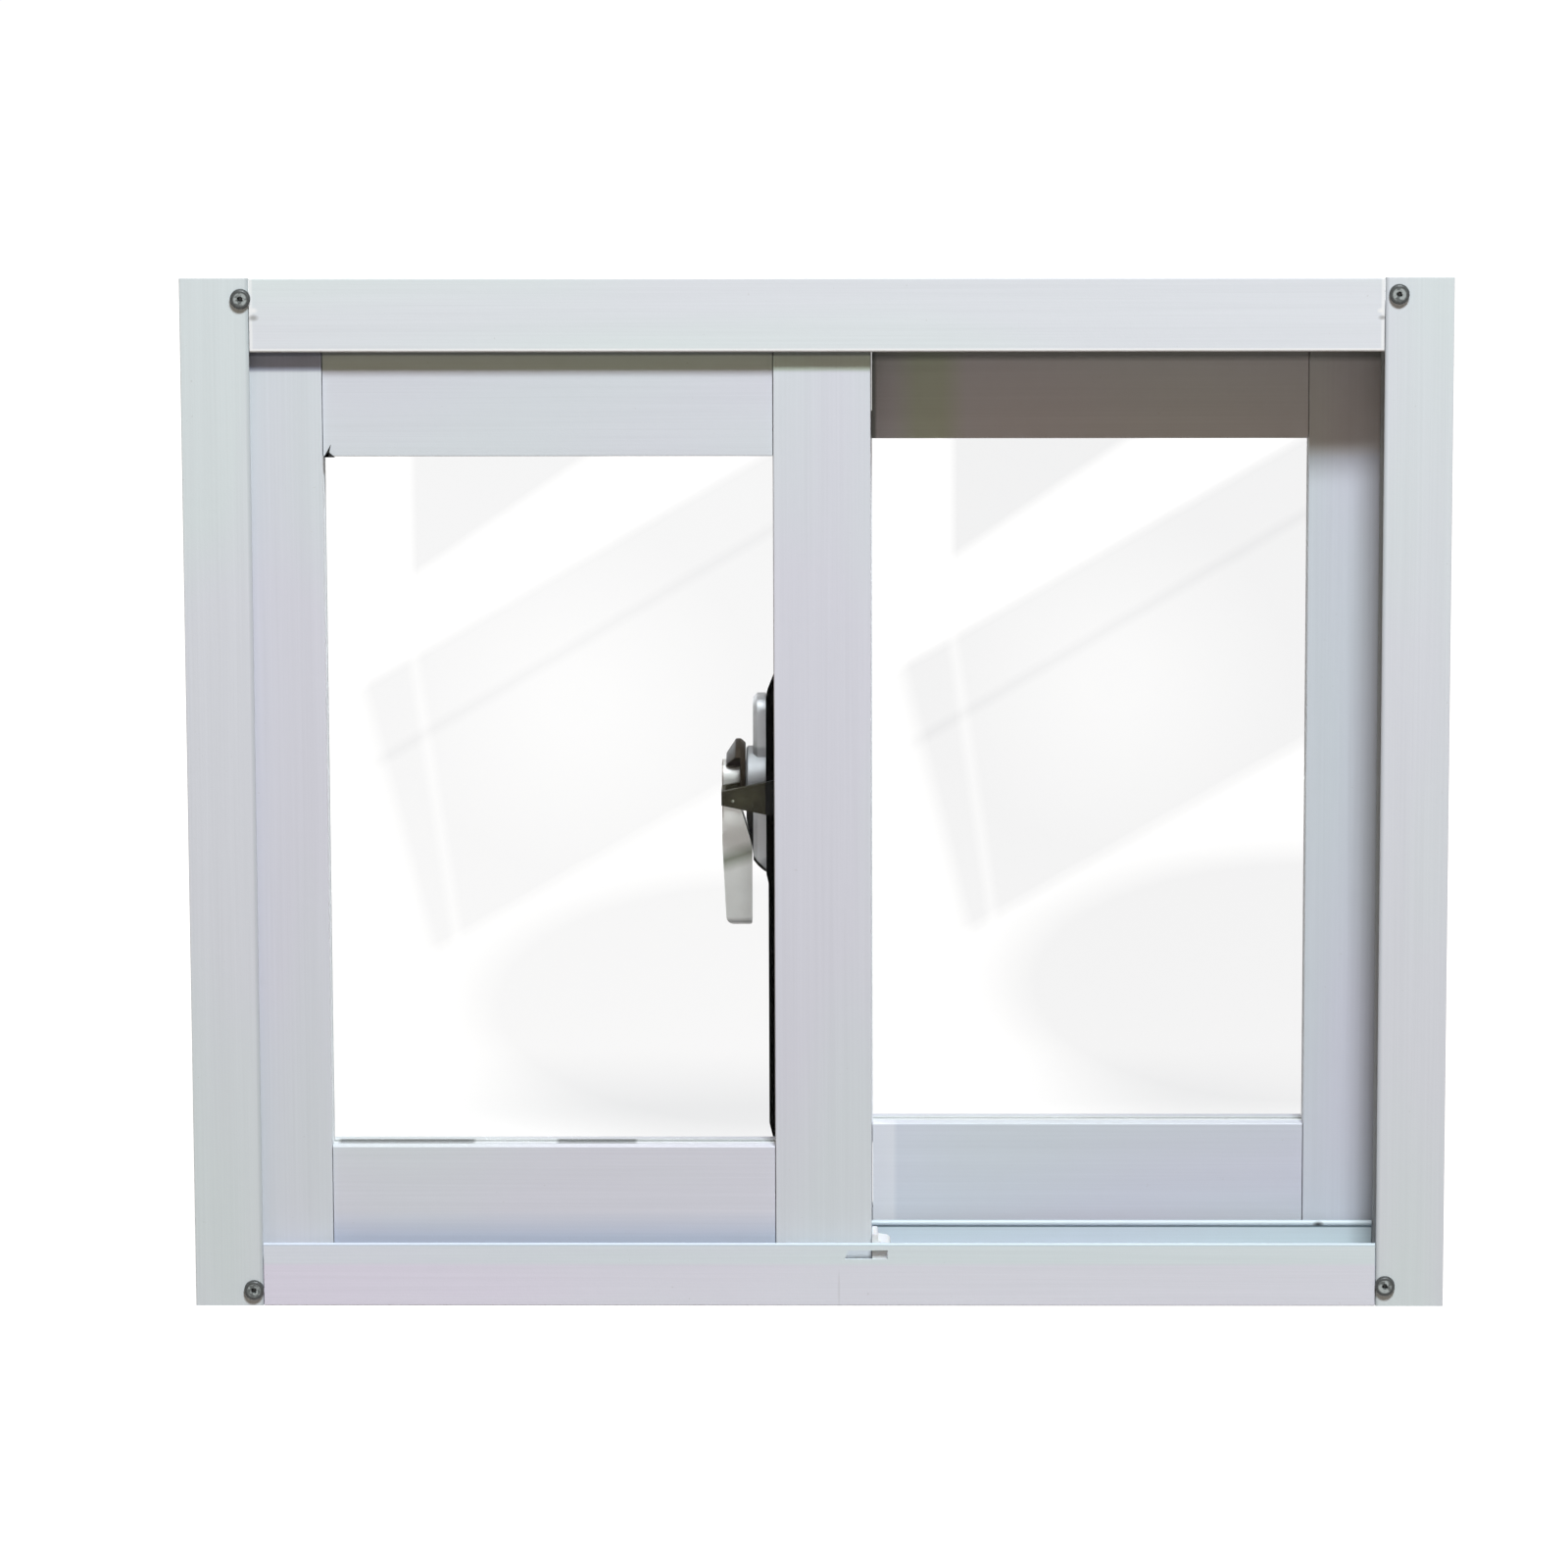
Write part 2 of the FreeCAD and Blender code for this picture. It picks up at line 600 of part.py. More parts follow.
def make_lock():
    """The crescent lock on the edge of the rear meeting stile, shown locked."""
    axis = REAR_TRACK
    face = REAR_MEETING_EDGE - CORNER_GAP
    plate = face - PACKING_THICKNESS
    nodes["lock_packing_strip"] = make_packing(plate, face, axis)
    base_face = plate - BASE_THICKNESS
    hub_face = base_face - HUB_THICKNESS
    nodes["lock_base"] = make_lock_base(plate, base_face, hub_face, axis)
    cam_face = hub_face - CAM_GAP
    lever_face = cam_face - CAM_WEB - CAM_GAP
    nodes["lock_cam"] = make_cam(cam_face, axis)
    nodes["lock_lever"] = make_lever(lever_face, axis)
    pivot_end = lever_face - LEVER_THICKNESS + PIVOT_COVER
    nodes["lock_pivot"] = cylinder_x(PIVOT_RADIUS, pivot_end, plate - 1 - RUNNING_PLAY, axis, LOCK_HEIGHT)
    nodes["lock_keeper"] = make_keeper(lever_face - LEVER_THICKNESS, cam_face, axis)


def make_packing(plate, face, axis):
    """The strip between the base and the stile: it tapers off at the top and is thinner below the base."""
    low = GLASS_BOTTOM + REAR_TRACK_STEP
    top = LOCK_HEIGHT + PACKING_ABOVE
    step = LOCK_HEIGHT - BASE_BELOW
    side = [(face, low), (face, top), (face - CORNER_GAP, top), (plate, top - PACKING_TAPER, PACKING_BEND)]
    side += [(plate, step), (plate + PACKING_STEP, step - PACKING_THICKNESS), (plate + PACKING_STEP, low)]
    return moved(face_of(side, from_front), y=axis - PACKING_DEPTH / 2).extrude(Vector(0, PACKING_DEPTH, 0))


def make_lock_base(plate, base_face, hub_face, axis):
    """The long base, slanted at its lower end, with the pivot's hub and the stop of the cam on it."""
    half = BASE_WIDTH / 2
    low = LOCK_HEIGHT - BASE_BELOW
    high = LOCK_HEIGHT + BASE_ABOVE
    shape = [(axis - half, low, half - 1), (axis + half, low, half - 1)]
    shape += [(axis + half, high, half - 1), (axis - half, high, half - 1)]
    body = moved(face_of(shape), x=base_face).extrude(Vector(plate - base_face, 0, 0))
    rim = [edge for edge in body.Edges if edge.BoundBox.XMax < base_face + CORNER_GAP]
    body = body.makeChamfer(BASE_EASE, rim)
    hub = cylinder_x(HUB_RADIUS, hub_face, plate, axis, LOCK_HEIGHT)
    rim = [edge for edge in hub.Edges if edge.BoundBox.XMax < hub_face + CORNER_GAP]
    hub = hub.makeChamfer(BASE_EASE / 2, rim)
    stop = [(hub_face, LOCK_HEIGHT), (hub_face, LOCK_HEIGHT - STOP_START)]
    stop += [(base_face - STOP_TOE, LOCK_HEIGHT - STOP_END), (base_face, low + BASE_SLANT)]
    stop += [(plate, low + BASE_SLANT), (plate, LOCK_HEIGHT)]
    stop = moved(face_of(stop, from_front), y=axis - STOP_WIDTH / 2).extrude(Vector(0, STOP_WIDTH, 0))
    slant = [(base_face, low + BASE_SLANT), (plate, low), (plate, low - 1), (base_face - 1, low - 1)]
    slant += [(base_face - 1, low + BASE_SLANT)]
    slant = face_of(slant, from_front).extrude(Vector(0, FRAME_DEPTH, 0))
    pin_hole = cylinder_x(PIVOT_RADIUS + RUNNING_PLAY, hub_face - 1, plate - 1, axis, LOCK_HEIGHT)
    return body.cut(slant).fuse([hub, stop]).cut(pin_hole).removeSplitter()


def make_cam(face, axis):
    """The crescent: a round core, a wedge over the lever's head and a rim that hooks round the keeper."""
    back = face - CAM_WEB
    outer = face - CAM_WEB - LEVER_THICKNESS + KEEPER_WALL
    crest = face - CAM_CREST
    tip_radius = CAM_CORE_RADIUS + 1
    core = cylinder_x(CAM_CORE_RADIUS, back, face, axis, LOCK_HEIGHT)
    wedge = [(face, CAM_CORE_RADIUS - 1), (face, CAM_RADIUS - 2), (back, CAM_RADIUS), (crest, CAM_RADIUS)]
    wedge += [(outer, tip_radius + 2), (outer, tip_radius), (back, tip_radius), (back, CAM_CORE_RADIUS - 1)]
    rim = [(face, CAM_INNER_RADIUS), (face, CAM_RADIUS - 2), (back, CAM_RADIUS), (back, CAM_INNER_RADIUS)]
    wedge = turned_sector(wedge, CAM_START, CAM_WEDGE_END, axis)
    rim = turned_sector(rim, CAM_START, CAM_END, axis)
    bore = cylinder_x(PIVOT_RADIUS + RUNNING_PLAY, back - 1, face + 1, axis, LOCK_HEIGHT)
    return core.fuse([wedge, rim]).cut(bore).removeSplitter()


def make_lever(face, axis):
    """The lever: a round head on the pivot, and a grip that thickens towards the stile."""
    outer = face - LEVER_THICKNESS
    top = LOCK_HEIGHT + LEVER_RADIUS
    bottom = LOCK_HEIGHT - LEVER_LENGTH
    tip = outer + LEVER_LEAN
    inner = tip + LEVER_GRIP_THICKNESS
    side = [(outer, top, 1), (face, top, 0.5), (face, LOCK_HEIGHT - LEVER_NECK, 8)]
    side += [(inner, LOCK_HEIGHT - LEVER_SHOULDER, 25), (inner, bottom, 1.8)]
    side += [(tip + 1, bottom, LEVER_TIP_RADIUS), (outer, LOCK_HEIGHT - LEVER_SHOULDER, LEVER_BEND)]
    side = face_of(side, from_front).extrude(Vector(0, FRAME_DEPTH, 0))
    width = LEVER_GRIP_WIDTH / 2
    grip = [(axis - LEVER_RADIUS, LOCK_HEIGHT), (axis + LEVER_RADIUS, LOCK_HEIGHT)]
    grip += [(axis + width, bottom, width - 1), (axis - width, bottom, width - 1)]
    span = (outer - 1, inner + 1)
    grip = moved(face_of(grip), x=span[0]).extrude(Vector(span[1] - span[0], 0, 0))
    head = cylinder_x(LEVER_RADIUS, *span, axis, LOCK_HEIGHT)
    hole_end = outer + PIVOT_COVER - RUNNING_PLAY
    pin_hole = cylinder_x(PIVOT_RADIUS + RUNNING_PLAY, hole_end, face + 1, axis, LOCK_HEIGHT)
    return side.common(grip.fuse(head).removeSplitter()).cut(pin_hole)


def make_keeper(tip, cam_face, axis):
    """The keeper on the back of the front meeting stile: a tongue that loops round the cam."""
    face = FRONT_FACE + SASH_DEPTH + CORNER_GAP
    root = REAR_MEETING_EDGE
    bar = axis - LEVER_RADIUS - 1
    back = face + KEEPER_THICKNESS
    plan = [(root + KEEPER_FLANGE, face), (root + KEEPER_FLANGE, back)]
    plan += [(tip + KEEPER_WALL, back, KEEPER_ROUND), (tip + KEEPER_WALL, bar - KEEPER_BAR)]
    plan += [(cam_face, bar - KEEPER_BAR), (cam_face, bar)]
    plan += [(tip, bar, KEEPER_ROUND), (tip, face, KEEPER_ROUND)]
    loop = face_of(plan, from_above).extrude(Vector(0, 0, FRAME_HEIGHT))
    middle = LOCK_HEIGHT - KEEPER_DROP
    high = KEEPER_ROOT_HEIGHT / 2
    low = KEEPER_TIP_HEIGHT / 2
    end = root + KEEPER_FLANGE + 1
    shape = [(tip - 1, middle - low, KEEPER_ROUND), (root, middle - high), (end, middle - high)]
    shape += [(end, middle + high), (root, middle + high), (tip - 1, middle + low, KEEPER_ROUND)]
    return loop.common(face_of(shape, from_front).extrude(Vector(0, FRAME_DEPTH, 0)))


make_jambs()
make_head_and_sill()
make_sash("front_sash", -1, FRONT_FACE, 0.0)
make_sash("rear_sash", 1, REAR_FACE, REAR_TRACK_STEP)
make_corner_guide()
make_lock()

os.makedirs("parts", exist_ok=True)
for name, shape in nodes.items():
    placed = moved(shape, y=-FRAME_DEPTH / 2)
    placed.exportStep(os.path.join("parts", name + ".step"))
    print(name, len(placed.Solids), round(placed.Volume), placed.isValid())
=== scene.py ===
"""Finishes a packed sliding basement window and sets it in a plain studio.

The window is white coated aluminium: a frame with two tracks, two glazed sashes and a crescent
lock. Its solids stay as packed and get their finishes here. Modelled here are the corner
screws, the keeper's rivet, a stray end of gasket and the narrow lower end of the lock's packing.
All lengths are in metres: X runs to the right as seen from outside, Y into the room and Z up.
"""

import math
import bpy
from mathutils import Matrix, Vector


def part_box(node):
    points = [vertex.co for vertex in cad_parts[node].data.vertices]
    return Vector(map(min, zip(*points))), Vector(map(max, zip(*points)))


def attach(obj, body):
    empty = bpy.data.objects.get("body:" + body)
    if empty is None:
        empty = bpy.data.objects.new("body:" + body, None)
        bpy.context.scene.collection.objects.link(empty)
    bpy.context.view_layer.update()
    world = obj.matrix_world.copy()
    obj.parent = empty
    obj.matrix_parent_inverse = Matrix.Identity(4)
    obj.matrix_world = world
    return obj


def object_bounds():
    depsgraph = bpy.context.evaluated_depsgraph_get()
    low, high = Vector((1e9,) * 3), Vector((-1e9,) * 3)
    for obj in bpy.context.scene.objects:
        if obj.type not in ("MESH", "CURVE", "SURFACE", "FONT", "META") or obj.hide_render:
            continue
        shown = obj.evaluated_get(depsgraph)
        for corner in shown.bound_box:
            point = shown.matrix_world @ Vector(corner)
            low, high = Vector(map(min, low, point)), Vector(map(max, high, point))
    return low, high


bl_info = {
    "name": "Sliding Basement Window",
    "version": (1, 0, 0),
    "blender": (4, 5, 0),
    "location": "View3D > Sidebar > Window",
    "description": "Finishes, screws and studio for a sliding basement window",
    "category": "Object",
}

import bmesh
import bpy
from bpy.props import FloatProperty, FloatVectorProperty, PointerProperty
from mathutils import Matrix, Vector

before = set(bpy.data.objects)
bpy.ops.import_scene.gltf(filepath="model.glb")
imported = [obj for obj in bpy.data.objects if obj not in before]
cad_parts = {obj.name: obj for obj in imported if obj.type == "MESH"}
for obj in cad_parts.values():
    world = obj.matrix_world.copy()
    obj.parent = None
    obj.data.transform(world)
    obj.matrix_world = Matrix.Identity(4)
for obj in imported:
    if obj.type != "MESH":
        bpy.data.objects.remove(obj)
CAD_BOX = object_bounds()
OUTSIDE = CAD_BOX[0].y
SASHES = ("front_sash", "rear_sash")

# Squeezes a pattern along X, Y and Z, so that it runs along an upright or a level profile
UPRIGHT = (1.0, 1.0, 0.008)
LEVEL = (0.008, 1.0, 1.0)

TOUCHING = 1e-5
WHITE = (1.0, 1.0, 1.0)


# Settings

def length(name, description, default):
    return FloatProperty(name=name, description=description, default=default, min=0.0, max=10.0,
                         precision=5, unit="LENGTH")


def share(name, description, default):
    return FloatProperty(name=name, description=description, default=default, min=0.0, max=1.0)


def colour(name, description, default):
    return FloatVectorProperty(name=name, description=description, default=default, size=3,
                               min=0.0, max=1.0, subtype="COLOR")


def angle(name, description, degrees):
    return FloatProperty(name=name, description=description, default=math.radians(degrees),
                         subtype="ANGLE")


def power(name, description, default):
    return FloatProperty(name=name, description=description, default=default, unit="POWER")


class CoatSettings(bpy.types.PropertyGroup):
    """The white powder coat of the frame and of the sashes."""

    head_white: colour("Head white", "Coat of the head", (0.783, 0.835, 0.85))
    jamb_white: colour("Jamb white", "Coat of the jambs", (0.742, 0.785, 0.812))
    sill_white: colour("Sill white", "Coat of the sill", (0.815, 0.848, 0.91))
    front_white: colour("Front sash white", "Coat of the front sash", (0.73, 0.756, 0.806))
    # The rear sash's white is darker than the front's: painted shade for lying deeper in the frame.
    rear_shaded_white: colour("Rear sash white", "Coat of the rear sash", (0.656, 0.688, 0.748))
    lilac: colour("Lilac tinge", "Cooler patches multiply the white by this", (1.0, 0.965, 1.0))
    mint: colour("Mint tinge", "Greener patches multiply the white by this", (0.98, 1.0, 0.985))
    streak: share("Die lines", "How far the fine lines along a profile darken it", 0.035)
    peel: share("Orange peel", "Height of the coat's fine ripple", 0.06)
    rough: share("Roughness", "Roughness of the coat", 0.42)


class GlazingSettings(bpy.types.PropertyGroup):
    """The panes, their gaskets and the weather pile."""

    clear: colour("Clear glass", "What the clean glass lets through", WHITE)
    # Film on the glass that is also painted reflection.
    film_and_reflection: colour("Film", "What the glass lets through where the film is full", (0.70, 0.704, 0.716))
    rubber: colour("Rubber", "The glazing gaskets where they are clean", (0.016, 0.016, 0.017))
    chalk: colour("Chalk", "The gaskets where the coat has chalked on them", (0.78, 0.80, 0.82))
    pile: colour("Pile", "The brushes that seal the sashes", (0.22, 0.22, 0.225))
    tail: length("Gasket tail", "Size of the end of gasket at the front pane's corner", 0.0048)


class LockSettings(bpy.types.PropertyGroup):
    """The crescent lock and its keeper."""

    silver: colour("Silver", "The base", (0.68, 0.68, 0.69))
    pale: colour("Pale silver", "The lever", (0.80, 0.79, 0.76))
    bronze: colour("Bronze", "The crescent", (0.045, 0.032, 0.020))
    olive: colour("Olive", "The keeper", (0.050, 0.045, 0.028))
    steel: colour("Steel", "The pivot", (0.50, 0.50, 0.48))
    packing: colour("Packing", "The strip behind the base", (0.003, 0.003, 0.003))
    # Black for the stop, and painted shadow along the slanted lower end.
    black_and_shade: colour("Soot", "Black on the base's stop and lower end", (0.008, 0.007, 0.005))
    rivet: length("Rivet", "Radius of the keeper's rivet", 0.0007)
    ease: length("Eased edges", "Rounding of the castings' edges", 0.0009)
    hub: length("Hub", "How far the base's hub and stop stand off its face", 0.0034)
    stop: length("Stop", "From the base's top down to where its stop shows", 0.0535)
    slant: length("Slant", "Rise of the base's slanted lower end", 0.0070)
    # The lever's band is painted shade.
    band: length("Band", "Height of the lever's dull band above its tip", 0.0345)
    drop: length("Packing drop", "From the bottom rail's top down to the packing's end", 0.0064)


class ScrewSettings(bpy.types.PropertyGroup):
    """The pan-head screws at the frame's corners."""

    radius: length("Head radius", "Radius of a head", 0.0048)
    rise: length("Head height", "How far a head stands off the frame", 0.0024)
    cross: length("Cross", "Width of the recess across its arms", 0.0030)
    arm: length("Arm", "Width of one arm of the recess", 0.0013)
    zinc: colour("Zinc", "Plating of the head", (0.34, 0.37, 0.365))
    # Colour of the dirt blots and of the painted shade round the rim and in the recess.
    grime_and_shade: colour("Grime", "Dirt round the rim and in the recess", (0.010, 0.011, 0.011))


class StageSettings(bpy.types.PropertyGroup):
    """Camera, light and floor."""

    distance: length("Distance", "From the camera to the middle of the outside face", 4.4198)
    pitch: angle("Pitch", "How far the camera looks down", 12.18)
    yaw: angle("Yaw", "How far the camera stands to the right", 0.69)
    roll: angle("Roll", "Turn of the camera about its own axis", -0.155)
    lens: FloatProperty(name="Lens", description="Focal length in millimetres", default=213.3)
    key: power("Key light", "Power of the key light", 240.0)
    fill: power("Fill light", "Power of each lamp on the room side", 60.0)
    key_width: length("Key width", "Width of the key light", 1.05)
    key_height: length("Key height", "Height of the key light", 0.70)
    key_distance: length("Lamp distance", "From a lamp to the window", 4.5)
    key_tone: colour("Lamp tone", "Colour of the lamps", (0.892, 0.956, 1.0))
    room: colour("Room light", "Soft light from all round", (0.195, 0.137, 0.086))
    floor: colour("Floor", "The floor, as it throws light back", (0.21, 0.185, 0.165))
    glow: share("Glow", "How white the floor by the window is seen before light falls on it", 0.98)


# Scene tools

def deselect():
    if bpy.context.object and bpy.context.object.mode != "OBJECT":
        bpy.ops.object.mode_set(mode="OBJECT")
    bpy.ops.object.select_all(action="DESELECT")


def activate(piece):
    """Makes one piece the only selected object and the active one."""
    deselect()
    bpy.context.view_layer.objects.active = piece
    piece.select_set(True)


def shape(kind, test, edit):
    """Selects the active object's vertices, edges or faces that pass the test, and runs edit.

    kind is "VERT", "EDGE" or "FACE"; edit runs in edit mode.
    """
    bpy.ops.object.mode_set(mode="EDIT")
    bpy.ops.mesh.select_mode(type=kind)
    bpy.ops.mesh.select_all(action="DESELECT")
    mesh = bmesh.from_edit_mesh(bpy.context.object.data)
    for element in {"VERT": mesh.verts, "EDGE": mesh.edges, "FACE": mesh.faces}[kind]:
        if test(element):
            element.select_set(True)
    mesh.select_flush_mode()
    bmesh.update_edit_mesh(bpy.context.object.data)
    edit()
    bpy.ops.object.mode_set(mode="OBJECT")


def resize(value, centre):
    """An edit for shape that scales what is selected about a centre."""
    return lambda: bpy.ops.transform.resize(value=value, center_override=tuple(centre))


def anything(element):
    return True


def settle(piece):
    """Leaves the piece's object at the origin, with its place in its mesh."""
    activate(piece)
    bpy.ops.object.transform_apply(location=True, rotation=True, scale=True)


def carve(piece, cutter):
    """Cuts one mesh out of another with an applied Boolean."""
    activate(piece)
    cut = piece.modifiers.new("Recess", "BOOLEAN")
    cut.operation = "DIFFERENCE"
    cut.solver = "EXACT"
    cut.object = cutter
    bpy.ops.object.modifier_apply(modifier=cut.name)
    bpy.data.objects.remove(cutter)


def own_copy(piece, name):
    """A second piece with its own mesh."""
    copy = piece.copy()
    copy.data = piece.data.copy()
    copy.name = name
    bpy.context.scene.collection.objects.link(copy)
    return copy


def hand_over(piece, material):
    """Gives a new piece its finish and its place in the part."""
    piece.data.materials.clear()
    piece.data.materials.append(material)
    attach(piece, "root")


def finish_node(name, material):
    """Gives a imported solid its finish."""
    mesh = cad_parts[name].data
    mesh.materials.clear()
    mesh.materials.append(material)


def soften(name, width):
    """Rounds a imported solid's sharp edges with modifiers and leaves its mesh as it is."""
    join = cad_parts[name].modifiers.new("Join", "WELD")
    join.merge_threshold = 1e-6
    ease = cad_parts[name].modifiers.new("Ease", "BEVEL")
    ease.width = width
    ease.segments = 3
    ease.limit_method = "ANGLE"
    ease.angle_limit = math.radians(30)


# Material tools

class Recipe:
    """Builds one procedural material."""

    def __init__(self, name):
        self.material = bpy.data.materials.new(name)
        self.material.use_nodes = True
        self.tree = self.material.node_tree
        self.shader = self.tree.nodes["Principled BSDF"]
        self.output = self.tree.nodes["Material Output"]
        self.place = self.add("ShaderNodeTexCoord").outputs["Object"]

    def add(self, kind, **inputs):
        """A node with its sockets set or linked; names use _ for a space."""
        node = self.tree.nodes.new(kind)
        for key, value in inputs.items():
            self.put(node.inputs[key.replace("_", " ")], value)
        return node

    def put(self, socket, value):
        if isinstance(value, bpy.types.NodeSocket):
            self.tree.links.new(value, socket)
        elif hasattr(socket.default_value, "__len__") and len(value) < len(socket.default_value):
            socket.default_value = (*value, 1.0)
        else:
            socket.default_value = value

    def set(self, **inputs):
        for key, value in inputs.items():
            self.put(self.shader.inputs[key.replace("_", " ")], value)

    # Numbers

    def math(self, operation, *values):
        node = self.add("ShaderNodeMath")
        node.operation = operation
        for socket, value in zip(node.inputs, values):
            self.put(socket, value)
        return node.outputs[0]

    def both(self, first, second):
        return self.math("MULTIPLY", first, second)

    def either(self, first, second):
        return self.math("MAXIMUM", first, second)

    def total(self, first, second):
        return self.math("ADD", first, second)

    def less(self, first, second):
        return self.math("SUBTRACT", first, second)

    def size(self, value):
        return self.math("ABSOLUTE", value)

    def spread(self, value, low, high, start=0.0, end=1.0):
        """Maps low to start and high to end, and holds both ends."""
        return self.add("ShaderNodeMapRange", Value=value, From_Min=low, From_Max=high,
                        To_Min=start, To_Max=end).outputs[0]

    def above(self, value, edge, soft, tone=1.0):
        """0 below the edge and tone above it, over a soft border to either side."""
        return self.spread(value, edge - soft, edge + soft, 0.0, tone)

    def below(self, value, edge, soft, tone=1.0):
        """tone below the edge and 0 above it, over a soft border to either side."""
        return self.spread(value, edge + soft, edge - soft, 0.0, tone)

    # Places and patterns

    def axes(self):
        """The place along X, Y and Z."""
        return self.add("ShaderNodeSeparateXYZ", Vector=self.place).outputs

    def mapped(self, location=(0, 0, 0), scale=(1, 1, 1)):
        """Object coordinates, scaled and then moved."""
        return self.add("ShaderNodeMapping", Vector=self.place, Location=location,
                        Scale=scale).outputs[0]

    def noise(self, scale, vector=None, detail=2.0, rough=0.5):
        return self.add("ShaderNodeTexNoise", Vector=vector or self.place, Scale=scale,
                        Detail=detail, Roughness=rough).outputs[0]

    def vector(self, operation, first, second=None):
        """A number worked out from one or two vectors."""
        node = self.add("ShaderNodeVectorMath")
        node.operation = operation
        self.put(node.inputs[0], first)
        if second:
            node.inputs[1].default_value = second
        return node.outputs["Value"]

    def spot(self, centre, radius, soft=0.35, stretch=(1, 1, 1)):
        """1 inside a round place on the object and 0 outside it."""
        scale = [s / radius for s in stretch]
        location = [-c * s for c, s in zip(centre, scale)]
        away = self.vector("LENGTH", self.mapped(location=location, scale=scale))
        return self.spread(away, 1 + soft, 1 - soft)

    # Colours

    def blend(self, share_of_second, first, second, mode="MIX"):
        node = self.add("ShaderNodeMix")
        node.data_type = "RGBA"
        node.blend_type = mode
        self.put(node.inputs["Factor"], share_of_second)
        for socket, value in ((node.inputs[6], first), (node.inputs[7], second)):
            self.put(socket, value)
        return node.outputs[2]

    def times(self, first, second):
        return self.blend(1.0, first, second, "MULTIPLY")

    def wear(self, coat):
        """Makes this the coat."""
        self.coat = coat
        self.set(Base_Color=coat)

    def tint(self, zone, colour):
        """Multiplies the coat by a colour inside a zone."""
        self.wear(self.blend(zone, self.coat, self.times(self.coat, colour)))

    def paint(self, zone, colour):
        """Covers the coat with a colour inside a zone."""
        self.wear(self.blend(zone, self.coat, colour))

    def bump(self, height, strength, distance):
        node = self.add("ShaderNodeBump", Height=height, Strength=strength, Distance=distance)
        self.put(self.shader.inputs["Normal"], node.outputs[0])


def coat_recipe(name, white, direction, settings):
    """White powder coat on an extrusion, with die lines along it; direction is UPRIGHT or LEVEL."""
    recipe = Recipe(name)
    lines = recipe.noise(900.0, recipe.mapped(scale=direction), detail=3.0, rough=0.6)
    broad = recipe.noise(140.0, recipe.mapped(scale=direction), detail=2.0)
    long = [max(part, 0.3) for part in direction]
    patches = recipe.noise(15.0, recipe.mapped(scale=long), detail=1.0)
    tinge = recipe.blend(recipe.spread(patches, 0.40, 0.60), settings.lilac, settings.mint)
    streaks = recipe.total(recipe.both(lines, 0.6), recipe.both(broad, 0.4))
    dark = recipe.spread(streaks, 0.35, 0.65, 1.0 + settings.streak / 2, 1.0 - settings.streak)
    grey = recipe.add("ShaderNodeCombineColor", Red=dark, Green=dark, Blue=dark).outputs[0]
    coat = recipe.times(recipe.times(white, tinge), grey)
    specks = recipe.spread(recipe.noise(420.0, detail=1.0), 0.79, 0.84, 0.0, 0.25)
    recipe.wear(recipe.blend(specks, coat, (0.45, 0.44, 0.42)))
    recipe.set(Roughness=recipe.spread(lines, 0.3, 0.7,
                                       settings.rough - 0.05, settings.rough + 0.06))
    ripple = recipe.total(recipe.noise(1300.0, detail=1.0), recipe.both(lines, 0.5))
    recipe.bump(ripple, settings.peel, 0.0004)
    return recipe


# Operators

